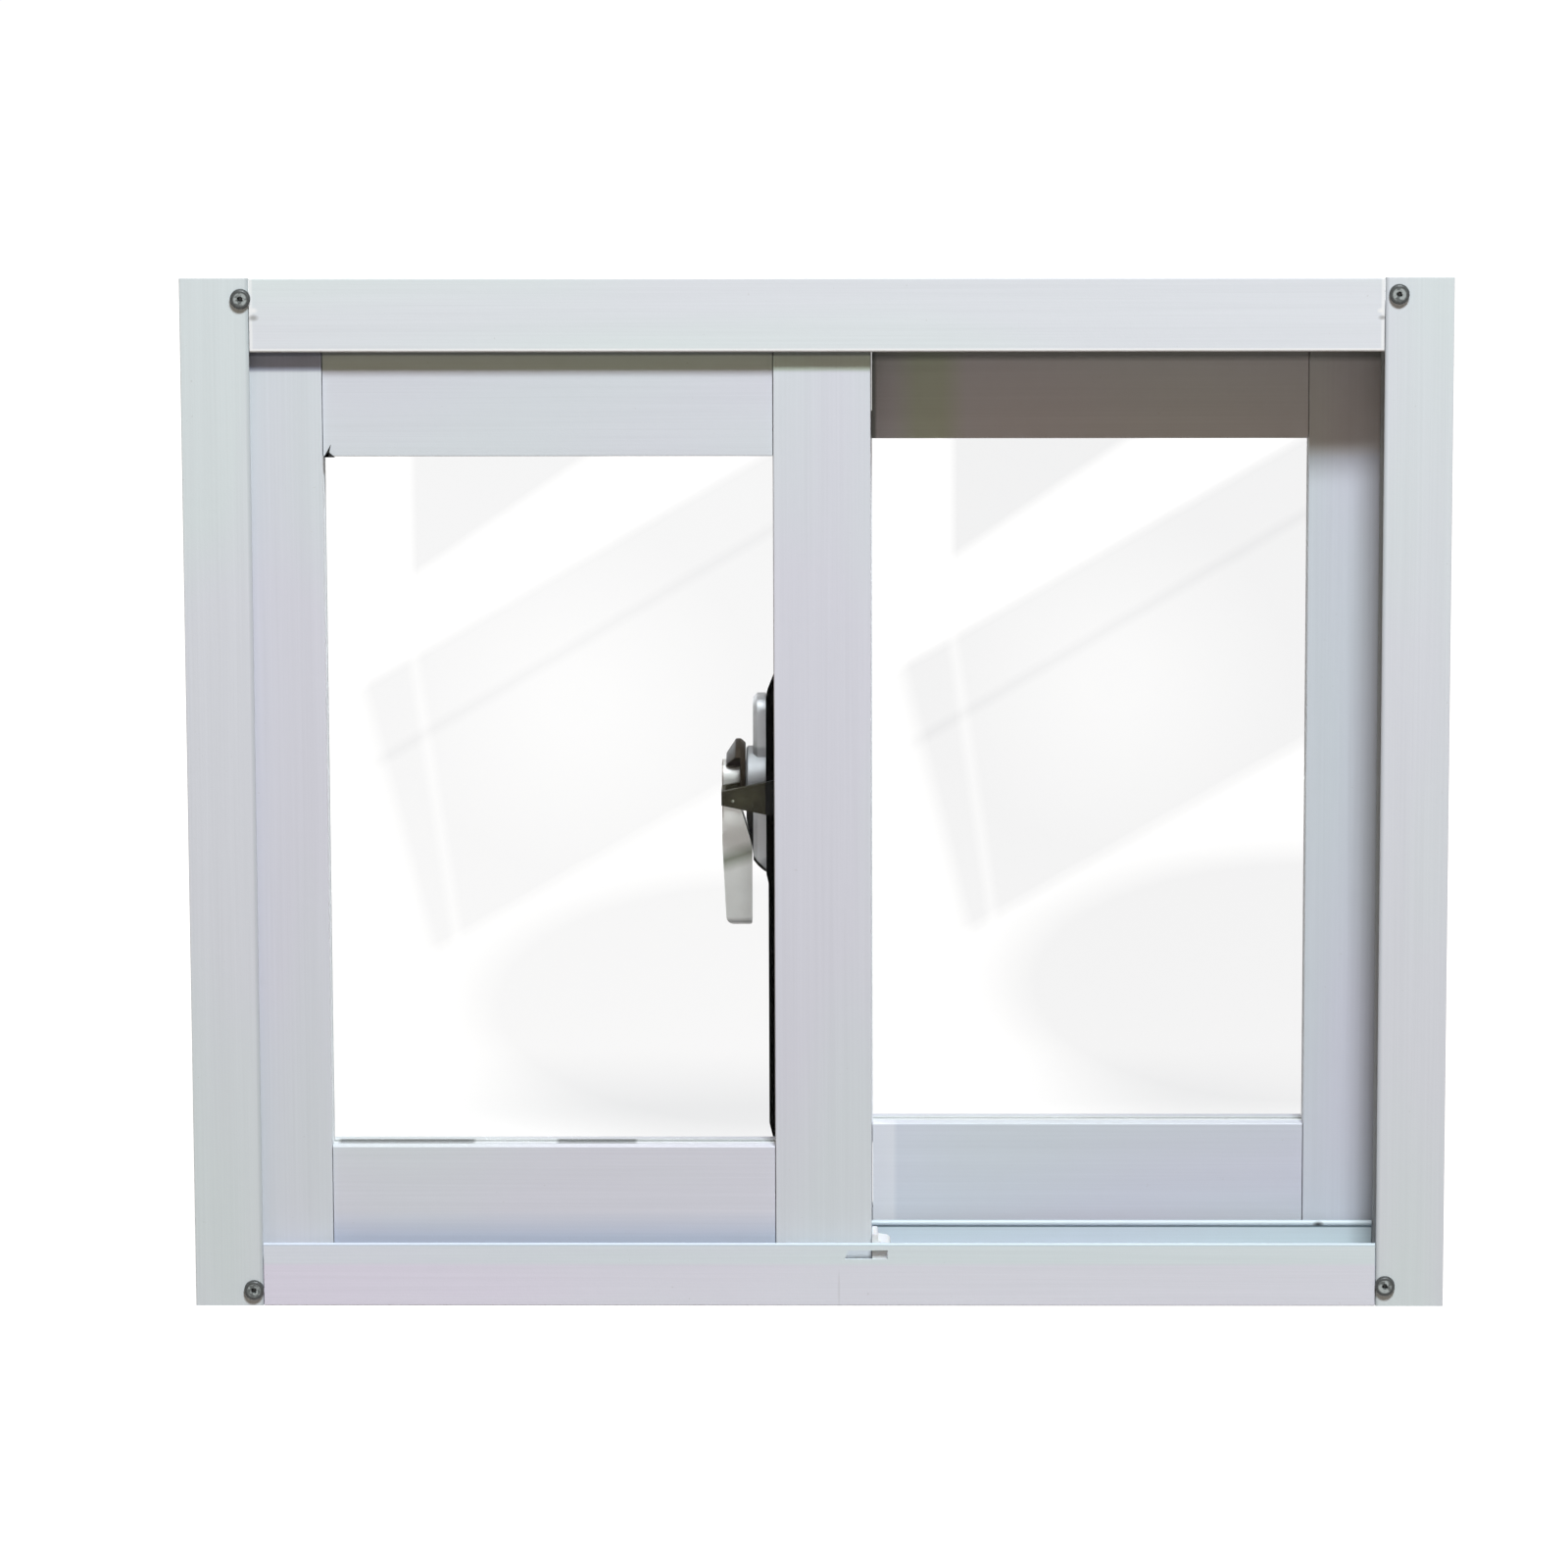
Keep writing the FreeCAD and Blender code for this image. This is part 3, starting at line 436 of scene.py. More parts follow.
class WINDOW_OT_coat_frame(bpy.types.Operator):
    """Coats the jambs, the head and the sill"""

    bl_idname = "window.coat_frame"
    bl_label = "Coat frame"

    FACE_DEPTH = 0.0026
    # X, Z, radius and grey of each chip's pale side, a painted highlight, and of its darker side,
    # painted shade
    CHIPS = (
        (-0.2654, 0.4848, 0.0012, 0.95),
        (-0.2652, 0.4813, 0.0013, 0.42),
        (0.2658, 0.4844, 0.0011, 0.95),
        (0.2661, 0.4811, 0.0010, 0.45),
    )
    SEAM = (0.0096, OUTSIDE, 0.008)
    NICK = (0.2414, 0.0, 0.0308)

    def execute(self, context):
        settings = context.scene.window_coat
        jamb = coat_recipe("frame_coat_upright", settings.jamb_white, UPRIGHT, settings)
        head = coat_recipe("frame_coat_head", settings.head_white, LEVEL, settings)
        sill = coat_recipe("frame_coat_sill", settings.sill_white, LEVEL, settings)
        self.jamb_painted_shade(jamb)
        self.head_highlights_and_chips(head)
        self.sill_marks_and_shade(sill)
        for name in ("jamb_left", "jamb_right"):
            finish_node(name, jamb.material)
        finish_node("head", head.material)
        finish_node("sill", sill.material)
        return {"FINISHED"}

    def inside(self, recipe, reach=1.0):
        """1 on the faces that look into the frame, as far as reach from the window's middle."""
        room_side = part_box("sill")[1].y
        at = recipe.axes()
        deep = recipe.both(recipe.above(at["Y"], OUTSIDE + self.FACE_DEPTH, 0.0004),
                           recipe.below(at["Y"], room_side - 0.0004, 0.0002))
        return recipe.both(deep, recipe.below(recipe.size(at["X"]), reach - 0.0002, 0.0002))

    def jamb_painted_shade(self, recipe):
        """Painted shade along the jamb's inner edge, its joint with head and sill included, and
        painted shade in the channel, darker higher up.
        """
        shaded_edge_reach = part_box("jamb_right")[0].x + 0.0014
        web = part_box("sill")[1].x + 0.0010
        # Painted shade along the jamb's inner edge, all the way up.
        recipe.tint(recipe.below(recipe.size(recipe.axes()["X"]), shaded_edge_reach, 0.0006, 0.55),
                    (0.60, 0.62, 0.63))
        # Painted shade in the channel.
        shade = recipe.spread(recipe.axes()["Z"], 0.05, 0.40, 0.55, 0.75)
        recipe.tint(recipe.both(self.inside(recipe, web), shade), (0.30, 0.28, 0.24))

    def head_highlights_and_chips(self, recipe):
        """Pale ends and a pale lower rim, both painted highlights, and chips under the two upper
        screws, each with a painted highlight and painted shade.
        """
        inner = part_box("jamb_right")[0].x
        at = recipe.axes()
        # Painted highlight at the head's ends and along its lower rim.
        end = recipe.above(recipe.size(at["X"]), inner - 0.0018, 0.0004, 0.6)
        rim = recipe.below(at["Z"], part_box("head")[0].z + 0.0016, 0.0004)
        recipe.paint(recipe.either(end, rim), WHITE)
        # Each chip is painted pale on one side as a highlight and dark on the other as shade.
        for x, z, radius, grey in self.CHIPS:
            chip = recipe.spot((x, OUTSIDE, z), radius, soft=0.6, stretch=(0.7, 1.0, 1.1))
            recipe.paint(chip, (grey, grey, grey))

    def sill_marks_and_shade(self, recipe):
        """Bands along the face, painted shade that darkens the track and makes it bluer, a painted
        shadow line under the middle lip's bead, a seam and a nick in the middle lip.
        """
        at = recipe.axes()
        face_bands = recipe.blend(recipe.below(at["Z"], 0.0205, 0.0010),
                                  (0.965, 1.0, 0.98), (1.0, 0.95, 0.985))
        recipe.wear(recipe.times(recipe.coat, face_bands))
        inside = self.inside(recipe)
        # Painted shade inside the track.
        recipe.tint(inside, (0.80, 0.845, 0.845))
        # Painted shadow under the middle lip's bead.
        under_bead = recipe.both(recipe.above(at["Z"], 0.0290, 0.0002),
                                 recipe.below(at["Z"], 0.02985, 0.00015))
        recipe.paint(recipe.both(under_bead, recipe.both(inside, 0.8)), (0.06, 0.10, 0.12))
        lip = recipe.both(recipe.above(at["Z"], 0.0297, 0.0003), recipe.less(1.0, inside))
        recipe.tint(lip, (0.80, 0.85, 0.90))
        seam = recipe.both(recipe.spot(self.SEAM, 0.0005, stretch=(1.0, 1.0, 0.06)), 0.22)
        recipe.paint(seam, (0.45, 0.45, 0.47))
        nick = recipe.spot(self.NICK, 0.0012, stretch=(0.45, 0.6, 1.0))
        recipe.paint(nick, (0.04, 0.04, 0.04))


class WINDOW_OT_coat_sashes(bpy.types.Operator):
    """Coats the stiles and rails of both sashes"""

    bl_idname = "window.coat_sashes"
    bl_label = "Coat sashes"

    PIECES = {"outer_stile": UPRIGHT, "meeting_stile": UPRIGHT,
              "bottom_rail": LEVEL, "top_rail": LEVEL}

    def execute(self, context):
        settings = context.scene.window_coat
        # The rear sash takes its darker white, which is painted shade.
        for sash, white in zip(SASHES, (settings.front_white, settings.rear_shaded_white)):
            for part, direction in self.PIECES.items():
                name = sash + "_" + part
                recipe = coat_recipe(name + "_coat", white, direction, settings)
                if name in self.MARKS:
                    low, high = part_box(name)
                    recipe.outside = recipe.below(recipe.axes()["Y"], (low.y + high.y) / 2, 0.001)
                    self.MARKS[name](self, recipe)
                finish_node(name, recipe.material)
        return {"FINISHED"}

    def mark(self, recipe, zone, tone):
        """Tints a zone of a piece's outside half."""
        recipe.tint(recipe.both(zone, recipe.outside), tone)

    def shade_under_head(self, recipe, tone):
        """Painted shade on a sash under the head's lip, darkest right below it."""
        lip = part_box("head")[0].z
        height = recipe.axes()["Z"]
        self.mark(recipe, recipe.above(height, lip - 0.0100, 0.0008), tone)
        self.mark(recipe, recipe.above(height, lip - 0.0029, 0.0005), (0.30, 0.30, 0.32))

    # Painted shade under the head on the front outer stile.
    def bluish_head_shade(self, recipe):
        self.shade_under_head(recipe, (0.55, 0.56, 0.66))

    # Painted shade under the head on the front top rail and meeting stile.
    def olive_head_shade(self, recipe):
        self.shade_under_head(recipe, (0.86, 0.95, 0.78))

    def bluish_shade_foot(self, recipe):
        """Painted shade: the front bottom rail is darker and bluer towards the sill."""
        self.mark(recipe, recipe.below(recipe.axes()["Z"], 0.0385, 0.0065), (0.77, 0.84, 0.915))

    def rear_head_shade(self, recipe):
        """Painted shade: the rear sash is browner where the head shades it, and dark right below
        the lip.
        """
        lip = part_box("head")[0].z
        height = recipe.axes()["Z"]
        self.mark(recipe, recipe.above(height, lip - 0.0560, 0.0030), (0.99, 0.93, 0.84))
        self.mark(recipe, recipe.above(height, lip - 0.0110, 0.0015), (0.25, 0.25, 0.23))

    def shaded_stile(self, recipe):
        """Painted shade: the rear outer stile is brown at its top, and dark by the jamb towards the
        sill.
        """
        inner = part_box("jamb_right")[0].x
        self.rear_head_shade(recipe)
        at = recipe.axes()
        foot = recipe.both(recipe.above(at["X"], inner - 0.00225, 0.00525),
                           recipe.below(at["Z"], 0.19, 0.11, 0.6))
        self.mark(recipe, foot, (0.42, 0.44, 0.42))

    def shaded_rail(self, recipe):
        """Painted shade: the rear top rail is dark by the front meeting stile, and olive further
        on.
        """
        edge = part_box("front_sash_meeting_stile")[1].x
        along = recipe.axes()["X"]
        self.rear_head_shade(recipe)
        self.mark(recipe, recipe.below(along, edge + 0.0023, 0.0007), (0.36, 0.38, 0.36))
        from_olive = recipe.size(recipe.less(along, edge + 0.028))
        self.mark(recipe, recipe.below(from_olive, 0.012, 0.006), (0.86, 0.96, 0.74))

    def bounce_light_end(self, recipe):
        """Painted light: the rear bottom rail is paler by the front meeting stile, as light thrown
        off the stile would make it.
        """
        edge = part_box("front_sash_meeting_stile")[1].x
        clean = recipe.below(recipe.axes()["X"], edge + 0.01125, 0.00125, 0.38)
        recipe.paint(recipe.both(clean, recipe.outside), (0.93, 0.92, 0.93))

    MARKS = {
        "front_sash_outer_stile": bluish_head_shade,
        "front_sash_meeting_stile": olive_head_shade,
        "front_sash_top_rail": olive_head_shade,
        "front_sash_bottom_rail": bluish_shade_foot,
        "rear_sash_outer_stile": shaded_stile,
        "rear_sash_top_rail": shaded_rail,
        "rear_sash_bottom_rail": bounce_light_end,
    }


class WINDOW_OT_glaze(bpy.types.Operator):
    """Finishes the panes, the gaskets and the weather pile"""

    bl_idname = "window.glaze"
    bl_label = "Glaze"

    # How strong the film and its painted reflection are on each pane.
    FILM_STRENGTH = {"front_sash": 1.0, "rear_sash": 1.15}
    # The edges and folds of the film and its painted reflection: X and Z from the pane's middle,
    # from start to end
    UPPER_EDGE = ((-0.0958, 0.0523), (0.0986, 0.1658))
    LOWER_EDGE = ((0.1044, 0.0162), (-0.0670, -0.0833))
    LEFT_EDGE = ((-0.0670, -0.0833), (-0.1000, 0.0530))
    PALE_FOLD = ((-0.0454, -0.0722), (-0.0655, 0.0715))
    DARK_FOLD = ((-0.0562, 0.0346), (0.1044, 0.1305))
    CORNER_EDGE = ((0.0194, 0.1644), (-0.0670, 0.1047))
    CLOUD = (0.0122, 0.0, 0.0494)
    POOL = (0.1044, 0.0, -0.1010)
    # X along the front pane's lower edge where no chalk lies on the gasket
    BARE_STRETCHES = ((-0.231, -0.166), (-0.126, -0.088))
    TAIL_THICKNESS = 0.0006

    def execute(self, context):
        settings = context.scene.window_glazing
        pile = self.pile(settings)
        for sash in SASHES:
            finish_node(sash + "_glass", self.glass(sash, settings))
            finish_node(sash + "_glazing_gasket", self.gasket(sash, settings))
            finish_node(sash + "_weather_pile", pile)
        black = self.rubber("gasket_end", settings)
        black.set(Base_Color=(0.003, 0.003, 0.003), Specular_IOR_Level=0.1)
        self.gasket_tail(settings, black.material)
        return {"FINISHED"}

    def glass(self, sash, settings):
        """Clear glass with a faint film in slanting sweeps, which is also a painted reflection;
        lamps reach what is behind it.
        """
        low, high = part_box(sash + "_glass")
        recipe = Recipe(sash + "_float_glass")
        film_and_reflection = recipe.both(self.film_and_reflection(recipe, (low + high) / 2), self.FILM_STRENGTH[sash])
        recipe.set(Base_Color=recipe.blend(film_and_reflection, settings.clear, settings.film_and_reflection), Roughness=0.0,
                   IOR=1.5, Transmission_Weight=1.0, Specular_Tint=(0.05, 0.05, 0.05))
        rays = recipe.add("ShaderNodeLightPath").outputs
        lamp = recipe.either(rays["Is Shadow Ray"], rays["Is Diffuse Ray"])
        mix = recipe.add("ShaderNodeMixShader", Fac=lamp)
        clear = recipe.add("ShaderNodeBsdfTransparent", Color=(0.93, 0.94, 0.93))
        recipe.tree.links.new(recipe.shader.outputs[0], mix.inputs[1])
        recipe.tree.links.new(clear.outputs[0], mix.inputs[2])
        recipe.tree.links.new(mix.outputs[0], recipe.output.inputs["Surface"])
        return recipe.material

    def film_and_reflection(self, recipe, middle):
        """How much film and painted reflection lies on the pane: two sweeps are wiped clear of it.
        """
        at = recipe.mapped(location=-middle)
        side = recipe.add("ShaderNodeSeparateXYZ", Vector=at).outputs

        def beside(edge):
            """How far a place lies to the right of an edge."""
            start, end = edge
            run = Vector((end[0] - start[0], end[1] - start[1])).normalized()
            across = recipe.vector("DOT_PRODUCT", at, (run.y, 0.0, -run.x))
            return recipe.less(across, start[0] * run.y - start[1] * run.x)

        def near(distance, tone):
            return recipe.below(recipe.size(distance), 0.00225, 0.00225, tone)

        upper, lower = beside(self.UPPER_EDGE), beside(self.LOWER_EDGE)
        zone = recipe.both(recipe.above(upper, -0.0005, 0.0045), recipe.above(lower, 0.0, 0.006))
        zone = recipe.both(zone, recipe.above(beside(self.LEFT_EDGE), 0.0055, 0.0095))
        tone = recipe.total(near(upper, 0.20), near(lower, 0.16))
        tone = recipe.total(tone, near(beside(self.DARK_FOLD), 0.14))
        tone = recipe.less(recipe.total(tone, 0.62), near(beside(self.PALE_FOLD), 0.14))
        cloud = recipe.spot(middle + Vector(self.CLOUD), 0.050, soft=0.7)
        zone = recipe.both(zone, recipe.less(tone, recipe.both(cloud, 0.16)))
        corner = recipe.both(recipe.above(beside(self.CORNER_EDGE), 0.0, 0.005),
                             recipe.above(side["X"], -0.067, 0.004, 0.64))
        strip = recipe.both(recipe.above(side["X"], -0.100, 0.004),
                            recipe.below(side["X"], -0.075, 0.004))
        strip = recipe.both(strip, recipe.above(side["Z"], 0.1025, 0.0125, 0.2))
        pool = recipe.spot(middle + Vector(self.POOL), 0.073, soft=0.2, stretch=(0.45, 0.1, 1.0))
        return recipe.either(recipe.either(zone, corner),
                             recipe.either(strip, recipe.both(pool, 0.64)))

    def rubber(self, name, settings):
        recipe = Recipe(name)
        grain = recipe.noise(700.0, detail=3.0)
        clouds = recipe.spread(grain, 0.35, 0.7)
        recipe.wear(recipe.blend(clouds, settings.rubber, (0.05, 0.05, 0.048)))
        recipe.set(Roughness=recipe.spread(grain, 0.3, 0.7, 0.6, 0.8))
        recipe.bump(grain, 0.2, 0.0003)
        return recipe

    def gasket(self, sash, settings):
        """The gasket, greyed by chalk from the coat but for stretches under the front pane."""
        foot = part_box(sash + "_glass")[0].z
        recipe = self.rubber(sash + "_gasket", settings)
        at = recipe.axes()
        bare = 0.0
        if sash == "front_sash":
            for start, end in self.BARE_STRETCHES:
                bare = recipe.either(bare, recipe.both(recipe.above(at["X"], start, 0.001),
                                                       recipe.below(at["X"], end, 0.001)))
            bare = recipe.both(bare, recipe.below(at["Z"], foot + 0.011, 0.001, 0.6))
        recipe.wear(recipe.blend(bare, settings.chalk, recipe.coat))
        return recipe.material

    def pile(self, settings):
        recipe = Recipe("weather_pile")
        hairs = recipe.noise(2600.0, detail=4.0, rough=0.7)
        tufts = recipe.noise(500.0, detail=2.0)
        dark = [c * 0.35 for c in settings.pile]
        recipe.wear(recipe.blend(recipe.spread(hairs, 0.3, 0.7), dark, settings.pile))
        recipe.set(Roughness=0.95)
        recipe.bump(recipe.total(hairs, tufts), 0.7, 0.0006)
        return recipe.material

    def gasket_tail(self, settings, rubber):
        """The small end of gasket that peeps out at the front pane's upper left corner."""
        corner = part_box("front_sash_top_rail")[0] + Vector((0.0002, -0.0002, -0.0004))

        def wedge(run, rise, lean):
            """A flat triangle whose tip stands at a share of its run, given by lean."""
            deselect()
            middle = corner + Vector((run / 2, 0, rise / 2))
            bpy.ops.mesh.primitive_cube_add(size=1.0, location=middle)
            piece = bpy.context.object
            piece.scale = (run, self.TAIL_THICKNESS, rise)
            settle(piece)
            top = corner.z + rise
            shape("VERT", lambda vert: vert.co.z > top - TOUCHING,
                  resize((0.06, 1.0, 1.0), (corner.x + run * lean, 0, top)))
            return piece

        spike = wedge(settings.tail * 0.45, settings.tail * 1.25, 1.6)
        tail = wedge(settings.tail * 1.1, settings.tail * 0.5, 0.45)
        spike.select_set(True)
        bpy.ops.object.join()
        tail.name = "front_sash_gasket_tail"
        hand_over(tail, rubber)


class WINDOW_OT_finish_rollers(bpy.types.Operator):
    """Finishes the rollers, their housings and the corner guide"""

    bl_idname = "window.finish_rollers"
    bl_label = "Finish rollers and guide"

    def execute(self, context):
        recipe = Recipe("white_nylon")
        grain = recipe.noise(500.0, detail=3.0)
        clouds = recipe.spread(grain, 0.35, 0.65)
        recipe.wear(recipe.blend(clouds, (0.84, 0.85, 0.87), (0.78, 0.79, 0.80)))
        recipe.set(Roughness=recipe.spread(grain, 0.3, 0.7, 0.38, 0.5),
                   Subsurface_Weight=0.08, Subsurface_Scale=0.002)
        recipe.bump(grain, 0.1, 0.0003)
        for sash in SASHES:
            finish_node(sash + "_roller_wheels", recipe.material)
            finish_node(sash + "_roller_housings", recipe.material)
        finish_node("front_sash_corner_guide", recipe.material)
        return {"FINISHED"}


class WINDOW_OT_finish_lock(bpy.types.Operator):
    """Finishes the crescent lock and adds the keeper's rivet and the packing's end"""

    bl_idname = "window.finish_lock"
    bl_label = "Finish lock"

    CASTINGS = ("lock_base", "lock_lever", "lock_cam", "lock_keeper")
    RIVET_X = -0.0410
    RIVET_Z = 0.2417
    HUB_REACH = 0.01575
    END_WIDTH = 0.0034
    LEVER_SLOPE = -0.35

    def execute(self, context):
        settings = context.scene.window_lock
        cam = self.casting("cam_bronze", settings.bronze, 0.5, 0.0, 0.5)
        cam.set(Specular_IOR_Level=0.15)
        packing = self.packing(settings)
        finish_node("lock_base", self.shaded_base(settings))
        finish_node("lock_lever", self.shaded_lever(settings))
        finish_node("lock_cam", cam.material)
        finish_node("lock_keeper", self.blackened_keeper(settings))
        finish_node("lock_pivot", self.casting("pin_steel", settings.steel, 0.3, 0.9, 0.2).material)
        finish_node("lock_packing_strip", packing)
        for name in self.CASTINGS:
            soften(name, settings.ease)
        self.packing_end(settings, packing)
        self.rivet(settings, self.casting("rivet_dull", (0.16, 0.16, 0.12), 0.5, 0.3, 0.2).material)
        return {"FINISHED"}

    def packing(self, settings):
        recipe = Recipe("packing_black")
        grain = recipe.noise(900.0, detail=2.0)
        clouds = recipe.spread(grain, 0.4, 0.7)
        recipe.wear(recipe.blend(clouds, settings.packing, (0.008, 0.008, 0.008)))
        recipe.set(Roughness=0.9, Specular_IOR_Level=0.0)
        recipe.bump(grain, 0.15, 0.0003)
        return recipe.material

    def packing_end(self, settings, material):
        """The strip's narrow end, which reaches down behind the bottom rail."""
        low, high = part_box("lock_packing_strip")
        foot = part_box("front_sash_bottom_rail")[1].z - settings.drop
        left = high.x - self.END_WIDTH
        deselect()
        middle = Vector((left + high.x, low.y + high.y, foot + low.z)) / 2
        bpy.ops.mesh.primitive_cube_add(size=1.0, location=middle)
        end = bpy.context.object
        end.name = "lock_packing_end"
        end.scale = (high.x - left, (high.y - low.y) * 0.96, low.z - foot)
        settle(end)
        shape("VERT", lambda vert: vert.co.z < foot + TOUCHING,
              resize((0.42, 1.0, 1.0), (high.x, 0, foot)))
        hand_over(end, material)

    def casting(self, name, base, rough, metal, wear):
        """A satin casting with faint clouds and rubbed specks."""
        recipe = Recipe(name)
        clouds = recipe.noise(110.0, detail=4.0, rough=0.6)
        grain = recipe.noise(1500.0, detail=2.0)
        worn = [min(1.0, c + 0.22) for c in base]
        dull = [c * (1 - wear) for c in base]
        tone = recipe.blend(recipe.spread(clouds, 0.35, 0.65), dull, base)
        recipe.wear(recipe.blend(recipe.spread(grain, 0.66, 0.76, 0.0, wear), tone, worn))
        recipe.set(Metallic=metal,
                   Roughness=recipe.spread(clouds, 0.3, 0.7, rough - 0.06, rough + 0.1))
        recipe.bump(recipe.total(grain, recipe.both(clouds, 2.0)), 0.12, 0.0003)
        return recipe

    def shaded_base(self, settings):
        """The base, with painted shade about its hub, black on its stop, and a painted shadow line
        along its slanted lower end.
        """
        low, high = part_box("lock_base")
        recipe = self.casting("lock_silver", settings.silver, 0.52, 0.6, 0.12)
        at = recipe.axes()
        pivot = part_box("lock_pivot")
        from_axis = recipe.size(recipe.less(at["Z"], (pivot[0].z + pivot[1].z) / 2))
        # Painted shade about the hub.
        recipe.paint(recipe.below(from_axis, self.HUB_REACH, 0.00075, 0.8), (0.35, 0.35, 0.36))
        face = low.x + settings.hub
        stop_top = high.z - settings.stop
        stop = recipe.both(recipe.below(at["X"], face - 0.0001, 0.0001),
                           recipe.below(at["Z"], stop_top + 0.00025, 0.00025))
        run = high.x - face
        slope = math.hypot(run, settings.slant)
        across = recipe.both(recipe.less(at["X"], high.x), settings.slant / slope)
        up = recipe.both(recipe.less(at["Z"], low.z), run / slope)
        foot = recipe.below(recipe.total(across, up), 0.0015, 0.0003)
        # Black on the stop; painted shadow along the slanted lower end.
        recipe.paint(recipe.either(stop, foot), settings.black_and_shade)
        return recipe.material

    def shaded_lever(self, settings):
        """The lever, with a band of painted shade across its grip and a brown line along its edge
        by its head.
        """
        low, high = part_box("lock_lever")
        recipe = self.casting("lever_silver", settings.pale, 0.42, 0.45, 0.08)
        at = recipe.axes()
        sag = recipe.both(recipe.less(at["X"], (low.x + high.x) / 2), self.LEVER_SLOPE)
        from_band = recipe.less(recipe.total(at["Z"], sag), low.z + settings.band)
        # Painted shade across the grip.
        recipe.paint(recipe.spread(recipe.size(from_band), 0.0, 0.0064, 0.85, 0.0),
                     (0.20, 0.22, 0.16))
        edge = recipe.both(recipe.below(at["X"], low.x + 0.00065, 0.00025, 0.7),
                           recipe.above(at["Z"], high.z - 0.026, 0.004))
        recipe.paint(edge, (0.16, 0.11, 0.08))
        return recipe.material

    def blackened_keeper(self, settings):
        """The keeper, black where it is screwed to the stile."""
        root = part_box("lock_base")[1].x
        recipe = self.casting("keeper_olive", settings.olive, 0.5, 0.0, 0.45)
        recipe.set(Specular_IOR_Level=0.15)
        recipe.paint(recipe.above(recipe.axes()["X"], root - 0.00005, 0.00015),
                     (0.002, 0.002, 0.002))
        return recipe.material

    def rivet(self, settings, steel):
        """A flattened ball in the keeper's outside face."""
        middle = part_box("lock_keeper")[0].y
        deselect()
        bpy.ops.mesh.primitive_uv_sphere_add(segments=24, ring_count=12, radius=settings.rivet,
                                             location=(self.RIVET_X, middle, self.RIVET_Z))
        rivet = bpy.context.object
        rivet.name = "lock_keeper_rivet"
        settle(rivet)
        shape("VERT", anything, resize((1.0, 0.5, 1.0), (0, middle, 0)))
        bpy.ops.object.shade_smooth()
        hand_over(rivet, steel)


